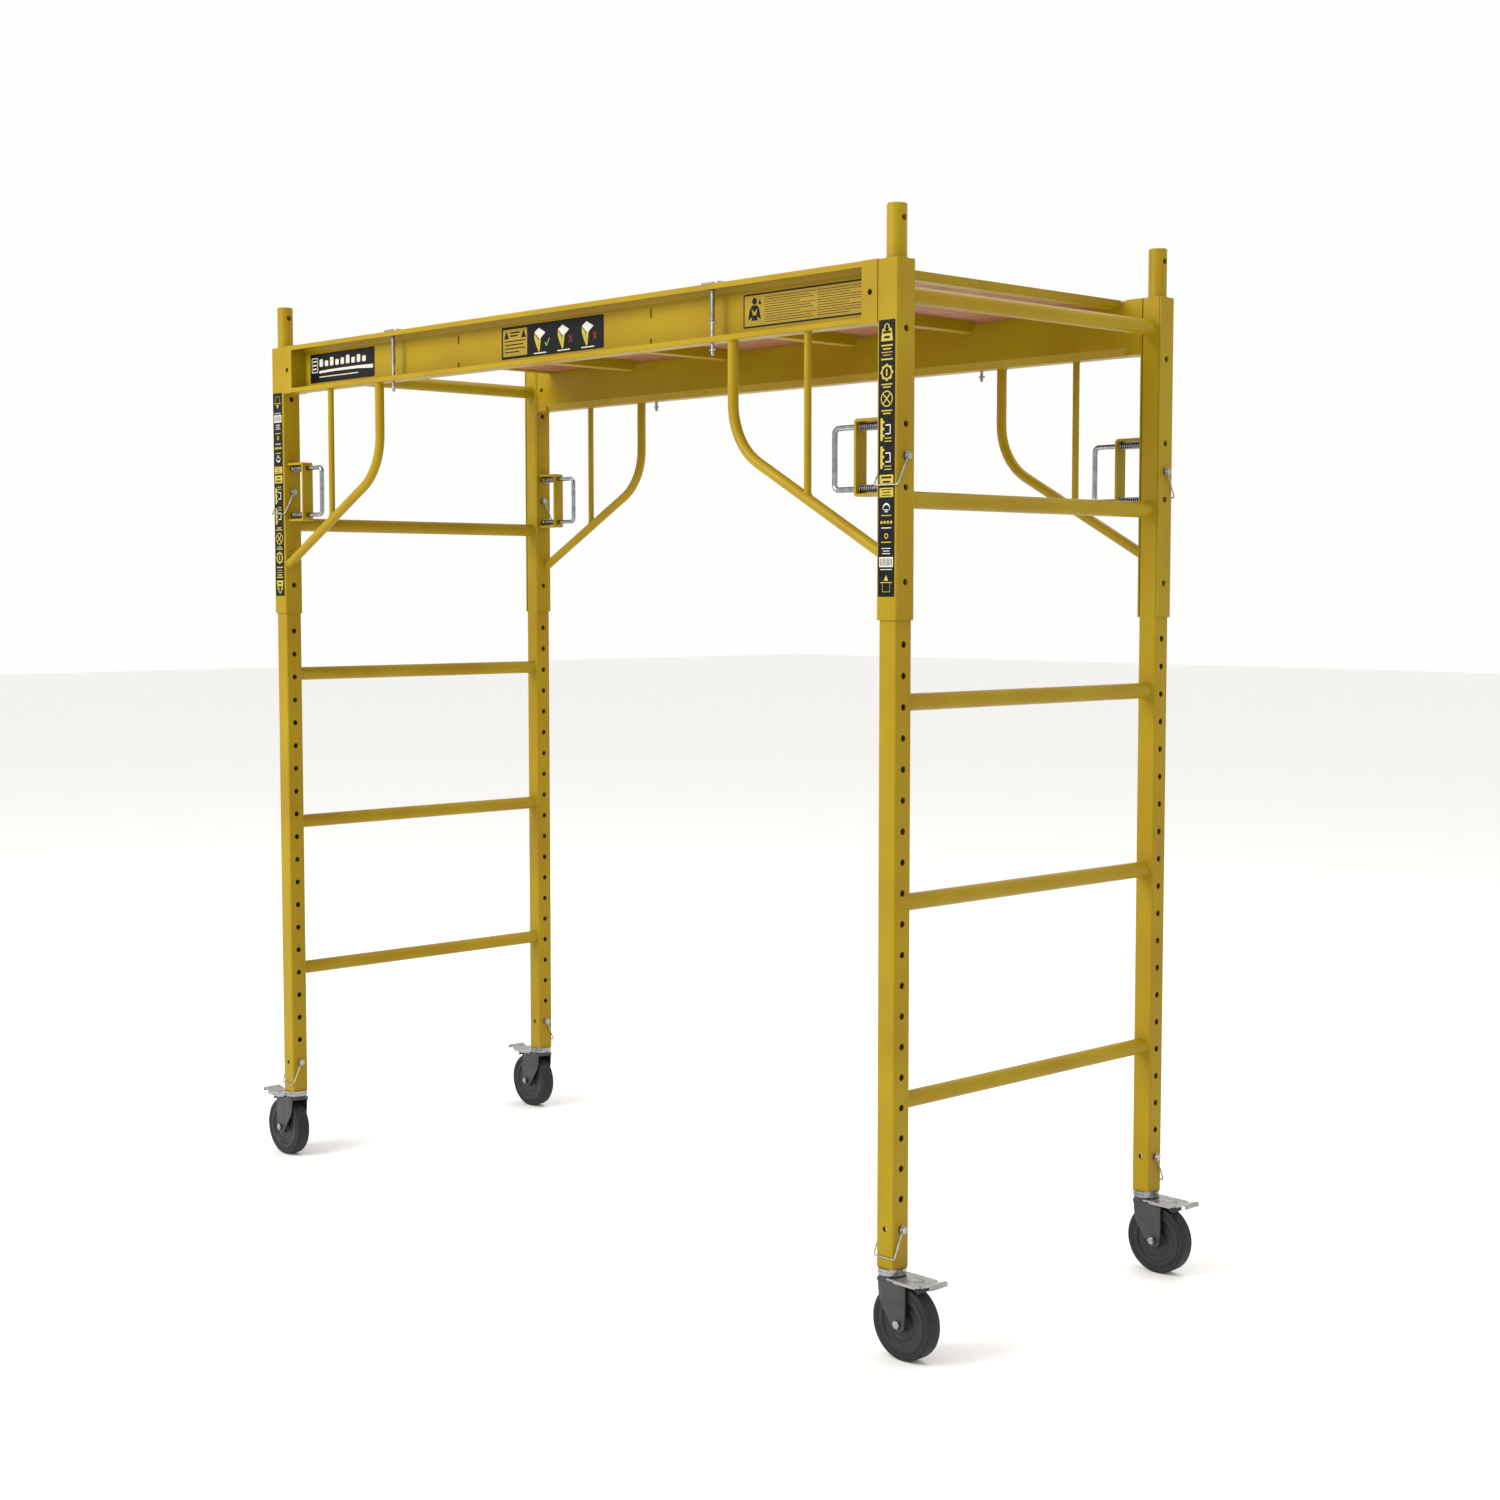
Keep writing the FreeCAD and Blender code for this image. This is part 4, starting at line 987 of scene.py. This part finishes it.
class MakeWheels(bpy.types.Operator):
    """Caster wheels: a crowned tread moulded on a dished core"""

    bl_idname = "scaffold.make_wheels"
    bl_label = "Wheels"

    def execute(self, context):
        rubber = bpy.data.materials["moulded rubber tread"]
        core_finish = moulded_core(context.scene.scaffold_colours)
        for corner in CORNERS:
            wheel = f"wheel_{corner}"
            low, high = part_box(wheel)
            centre = (low + high) / 2
            outer, hub = (high.z - low.z) / 2, (high.y - low.y) / 2
            tread = mesh_from(self.tread(centre, outer), f"tread_{corner}", [rubber], 30)
            core = mesh_from(self.core(centre, hub), f"wheel_core_{corner}", [core_finish], 30)
            placed(tread.name, tread, wheel, [wheel])
            placed(core.name, core, wheel)
        return {"FINISHED"}

    @staticmethod
    def tread(centre, outer):
        """The tread, with a narrow groove by its inner edge and a crown."""
        half, inner = TREAD_HALF_WIDTH, TREAD_INNER
        groove = half - 0.8 * MM
        profile = [
            (inner, -half, 0),
            (inner + 2.5 * MM, -half, 0.4 * MM),
            (inner + 3.2 * MM, -groove, 0.4 * MM),
            (inner + 4.4 * MM, -groove, 0.4 * MM),
            (inner + 5.2 * MM, -half, 0.4 * MM),
            (outer - 0.5 * MM, -half, 3.4 * MM),
            (outer, -half * 0.35, 6 * MM),
        ]
        return turned(centre, profile, 4, TREAD_SEGMENTS)

    @staticmethod
    def core(centre, hub):
        """The core: a hub with a raised rim, a dished web with a ring on it, and a flange."""
        half, rim = CORE_HALF_WIDTH, hub - 0.9 * MM
        profile = [
            (CORE_BORE, hub, 0),
            (9.6 * MM, hub, 0.3 * MM),
            (10.2 * MM, rim, 0.3 * MM),
            (13.2 * MM, rim, 1.0 * MM),
            (15.5 * MM, half - 5.5 * MM, 2.2 * MM),
            (26.0 * MM, half - 4.6 * MM, 1.0 * MM),
            (27.0 * MM, half - 3.6 * MM, 0.6 * MM),
            (28.6 * MM, half - 3.6 * MM, 0.6 * MM),
            (29.6 * MM, half - 4.6 * MM, 1.0 * MM),
            (39.5 * MM, half - 4.2 * MM, 2.4 * MM),
            (42.5 * MM, half, 0.9 * MM),
            (TREAD_INNER, half, 0),
        ]
        return turned(centre, profile, 3, CORE_SEGMENTS)


class Sheet:
    """A decal drawn in millimetres, x to the right and z up, on a plane that faces -Y.

    Layer 0 is its film, and the layers above are its print.
    """

    INKS = ("black", "yellow", "white", "red", "green", "film")

    def __init__(self, origin, sizes):
        self.bm = bmesh.new()
        self.origin = Vector(origin)
        self.film = sizes.film
        self.ink = sizes.ink

    def plate(self, outline, ink_name, layer):
        """A flat prism that stands out to its layer. A print starts inside the film."""
        back = self.film / 2 if layer else 0.0
        front = self.film + self.ink * layer
        rings = [
            [
                self.bm.verts.new(self.origin + Vector((x * MM, -depth, z * MM)))
                for x, z in outline
            ]
            for depth in (back, front)
        ]
        ends = [self.bm.faces.new(rings[0]), self.bm.faces.new(list(reversed(rings[1])))]
        for face in ends + join_rings(self.bm, rings):
            face.material_index = self.INKS.index(ink_name)

    def panel(self, x, z, width, height, ink_name, layer=1, corner=0):
        """A rectangle about its middle, with rounded corners if corner isn't 0."""
        marks = ((-1, -1), (1, -1), (1, 1), (-1, 1))
        corners = [(x + a * width / 2, z + b * height / 2, corner) for a, b in marks]
        self.plate(filleted(corners, 4), ink_name, layer)

    def disc(self, x, z, radius, ink_name, layer=1, sides=28):
        angles = [math.tau * i / sides for i in range(sides)]
        points = [(radius * math.cos(a), radius * math.sin(a)) for a in angles]
        self.polygon(x, z, points, ink_name, layer)

    def polygon(self, x, z, points, ink_name, layer=1):
        self.plate([(x + dx, z + dz) for dx, dz in points], ink_name, layer)

    def lines(self, x, z, width, rows, pitch, thick, shares=(1.0, 0.9, 0.96, 0.7)):
        """Rows of plain black bars on a field, ranged left from x, down from z."""
        for i in range(rows):
            length = width * shares[i % len(shares)]
            self.panel(x + length / 2, z - i * pitch, length, thick, "black", 2)

    def finish(self, name, inks):
        return placed(name, mesh_from(self.bm, name, inks, 20), "platform")


class MakeDecals(bpy.types.Operator):
    """Plain printed decals on the near rail and on the near sleeves, with no lettering"""

    bl_idname = "scaffold.make_decals"
    bl_label = "Decals"

    def execute(self, context):
        colours = context.scene.scaffold_colours
        sizes = context.scene.scaffold_sizes
        inks = [printed_vinyl(ink, getattr(colours, f"decal_{ink}")) for ink in Sheet.INKS]
        rail_z = (RAIL_HIGH.z + RAIL_LOW.z) / 2
        for name, x, draw in (
            ("banner_decal", BANNER_X, self.banner),
            ("guide_decal", GUIDE_X, self.guide),
            ("notice_decal", NOTICE_X, self.notice),
        ):
            sheet = Sheet((x, -RAIL_WEB, rail_z), sizes)
            draw(sheet)
            sheet.finish(name, inks)
        for corner, way in (("near_right", 1), ("near_left", -1)):
            low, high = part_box(f"sleeve_{corner}")
            sheet = Sheet(((low.x + high.x) / 2, low.y, STRIP_Z), sizes)
            self.strip(sheet, way)
            sheet.finish(f"strip_decal_{corner}", inks)
        return {"FINISHED"}

    @staticmethod
    def banner(sheet):
        """Black, with a white sweep, a frame of bars and a row of plain blocks."""
        sheet.panel(0, 0, 246, 62, "black", 0, 3)
        sheet.panel(-105, 7, 24, 32, "white", 1, 2)
        sheet.panel(-105, 7, 20, 28, "black", 2, 1.5)
        for z in (15, 7, -1):
            sheet.panel(-105, z, 14, 3, "white", 3)
        for i, height in enumerate((16, 12, 18, 12, 14, 18, 12, 16, 12)):
            sheet.panel(-80 + i * 20.5, 9 + (height - 12) / 2, 13, height, "white", 1, 2.5)
        sweep = [(-88, -11), (-30, -9.5), (60, -10), (117, -13)]
        sweep += [(117, -5), (60, -4), (-30, -4.5), (-88, -6)]
        sheet.polygon(0, 0, sweep, "white")
        sheet.panel(-13, -19, 150, 2, "white")

    @staticmethod
    def guide(sheet):
        """Black, with a yellow field of bars and three plain drawings of a post and its deck."""
        sheet.panel(0, 0, 312, 62, "black", 0, 3)
        sheet.panel(-113, 0, 76, 52, "film", 1, 1.5)
        for x in (-140, -86):
            sheet.polygon(x, 15, [(-8, -7), (8, -7), (0, 8)], "black", 2)
        sheet.lines(-128, 19, 30, 2, 6, 3, (1.0, 0.8))
        sheet.lines(-146, 3, 66, 4, 7, 2.2)
        tick = [(-7, 0), (-4.5, 2), (-1, -2.5), (7, 9), (9, 7.5), (-1, -7)]
        for x, mark in ((-38, "green"), (34, "red"), (106, "red")):
            sheet.polygon(x, 0, [(-14, 12), (-4, 2), (-2, -22), (-8, -12), (-14, 2)], "yellow")
            sheet.polygon(x, 0, [(-14, 14), (0, 22), (20, 12), (2, 0)], "white", 2)
            sheet.polygon(x, 0, [(-2, 0), (6, 2), (2, -22), (-2, -24)], "yellow", 2)
            if mark == "green":
                sheet.polygon(x + 24, -8, tick, mark)
            else:
                for turn, layer in ((1, 1), (-1, 2)):
                    bar = [(-6 * turn, -7), (-3.6 * turn, -7), (6 * turn, 7), (3.6 * turn, 7)]
                    sheet.polygon(x + 24, -6, bar, mark, layer)
            sheet.panel(x + 3, -26, 38, 2.2, "white")

    @staticmethod
    def notice(sheet):
        """A yellow film with a black frame, a plain figure and two columns of bars."""
        sheet.panel(0, 0, 314, 58, "black", 0, 3)
        sheet.panel(0, 0, 308, 52, "film", 1, 1)
        sheet.disc(-129, 16, 6, "black", 2)
        body = [(-16, -16), (-12, 2), (-6, 9), (6, 9), (12, 2), (16, -16), (7, -11), (-7, -11)]
        sheet.polygon(-129, 0, body, "black", 2)
        sheet.polygon(-129, 0, [(-7, 3), (0, -3), (7, 3), (4, -8), (-4, -8)], "film", 3)
        sheet.polygon(-129, -14, [(-8, -3), (8, -3), (6, 3), (-6, 3)], "black", 2)
        sheet.polygon(-116, 14, [(-4, -4), (4, -4), (0, 6)], "black", 2)
        sheet.lines(-104, 21, 124, 11, 4.2, 1.0)
        sheet.lines(24, 21, 124, 11, 4.2, 1.0, (0.95, 1.0, 0.6, 0.9))

    def strip(self, sheet, way):
        """A narrow black strip down the sleeve's face, or with way -1 the same upside down."""
        width, height = 36, 444
        sheet.panel(0, 0, width, height, "black", 0, 1.5)

        def down(distance):
            return way * (height / 2 - distance)

        def rows(distance, count, pitch, thick, ink_name, length, layer=1):
            for i in range(count):
                span = length * (1.0, 0.72, 0.9)[i]
                sheet.panel(0, down(distance + i * pitch), span, thick, ink_name, layer)

        weight = [(-13, -11 * way), (13, -11 * way), (10, 9 * way), (-10, 9 * way)][::way]
        sheet.polygon(0, down(23), weight, "yellow")
        sheet.disc(0, down(12), 6, "yellow")
        sheet.disc(0, down(11), 3.4, "black", 2)
        rows(20, 2, 8, 3.6, "black", 17, 3)
        rows(41, 2, 5.5, 2.4, "yellow", 25)
        rows(52, 2, 4.5, 1.1, "yellow", 25)
        rows(63, 1, 0, 2.4, "yellow", 25)
        self.gear(sheet, down(84))
        rows(103, 2, 4.5, 2, "yellow", 24)
        self.crossed(sheet, down(126))
        rows(145, 2, 4.5, 2, "yellow", 24)
        for top in (157, 202):
            sheet.panel(-11, down(top + 18), 5, 36, "yellow")
            for drop in (6, 17, 28):
                sheet.panel(-7, down(top + drop), 4, 4, "yellow", 2)
            sheet.panel(8, down(top + 18), 1.8, 13, "white", 2)
            for drop, length, thick, ink_name in (
                (11, 11, 1.8, "white"),
                (25, 11, 1.8, "white"),
                (32, 15, 1.6, "yellow"),
                (37, 15, 1.6, "yellow"),
            ):
                sheet.panel(3, down(top + drop), length, thick, ink_name)
        sheet.panel(0, down(256), 30, 17, "yellow", 1, 1)
        rows(252, 2, 7, 3, "black", 22, 2)
        sheet.panel(0, down(276), 30, 15, "yellow", 1, 1)
        rows(271.5, 3, 4.5, 1.5, "black", 24, 2)
        sheet.disc(0, down(301), 8, "white")
        sheet.disc(0, down(303), 7, "black", 2)
        rows(304, 2, 3, 1.4, "white", 10, 3)
        rows(313, 1, 0, 1.4, "yellow", 22)
        for i in range(4):
            sheet.disc(-10.5 + i * 7, down(324), 2.6, "yellow", 1, 12)
        rows(333, 1, 0, 1.4, "white", 22)
        sheet.disc(0, down(346), 4.4, "yellow")
        sheet.disc(0, down(346), 2.6, "black", 2)
        rows(356, 1, 0, 1.6, "yellow", 22)
        rows(366, 3, 4.2, 1.2, "white", 20)
        sheet.panel(0, down(388), 30, 16, "white")
        for i in range(9):
            sheet.panel(-12 + i * 3, down(388), 1.3, 12, "black", 2)
        rows(400, 1, 0, 1.2, "white", 26)
        arrow = [(-5, -4 * way), (5, -4 * way), (0, 5 * way)][::way]
        sheet.polygon(0, down(414), arrow, "yellow")
        sheet.panel(0, down(421), 26, 1.4, "yellow")
        for x in (-8, 8):
            sheet.panel(x, down(429), 0.7, 14, "yellow")
        sheet.panel(0, down(436), 16.7, 0.7, "yellow", 2)

    @staticmethod
    def gear(sheet, z):
        for i in range(8):
            angle = math.tau * i / 8
            sheet.disc(11.5 * math.cos(angle), z + 11.5 * math.sin(angle), 2.6, "yellow", 1, 8)
        sheet.disc(0, z, 12, "yellow", 2)
        sheet.disc(0, z, 9, "black", 3)
        sheet.panel(0, z, 3, 11, "yellow", 4)

    @staticmethod
    def crossed(sheet, z):
        sheet.disc(0, z, 13, "yellow")
        sheet.disc(0, z, 11, "black", 2)
        sheet.polygon(0, z, [(-8.5, -7), (-7, -8.5), (8.5, 7), (7, 8.5)], "yellow", 3)
        sheet.polygon(0, z, [(7, -8.5), (8.5, -7), (-7, 8.5), (-8.5, 7)], "yellow", 4)


class ScaffoldPanel(bpy.types.Panel):
    """The scaffold's pieces and sizes"""

    bl_idname = "VIEW3D_PT_scaffold"
    bl_label = "Rolling Scaffold"
    bl_space_type = "VIEW_3D"
    bl_region_type = "UI"
    bl_category = "Scaffold"

    def draw(self, context):
        layout = self.layout
        for cls in OPERATORS:
            layout.operator(cls.bl_idname)
        for settings in SETTINGS:
            column = layout.box().column()
            group = getattr(context.scene, settings)
            for name in group.bl_rna.properties.keys():
                if name not in ("rna_type", "name"):
                    column.prop(group, name)


SETTINGS = {
    "scaffold_sizes": ScaffoldSizes,
    "scaffold_colours": ScaffoldColours,
    "scaffold_studio": ScaffoldStudio,
}
OPERATORS = (MakeStudio, FinishFrames, MakeSprings, MakeWelds, MakeScrews, MakeWheels, MakeDecals)
CLASSES = (*SETTINGS.values(), *OPERATORS, ScaffoldPanel)


def register():
    for cls in CLASSES:
        bpy.utils.register_class(cls)
    for name, group in SETTINGS.items():
        setattr(bpy.types.Scene, name, bpy.props.PointerProperty(type=group))


def unregister():
    for name in SETTINGS:
        delattr(bpy.types.Scene, name)
    for cls in reversed(CLASSES):
        bpy.utils.unregister_class(cls)


def main():
    register()
    bpy.ops.scaffold.make_studio()
    bpy.ops.scaffold.finish_frames()
    bpy.ops.scaffold.make_springs()
    bpy.ops.scaffold.make_welds()
    bpy.ops.scaffold.make_screws()
    bpy.ops.scaffold.make_wheels()
    bpy.ops.scaffold.make_decals()


if __name__ == "__main__":
    main()
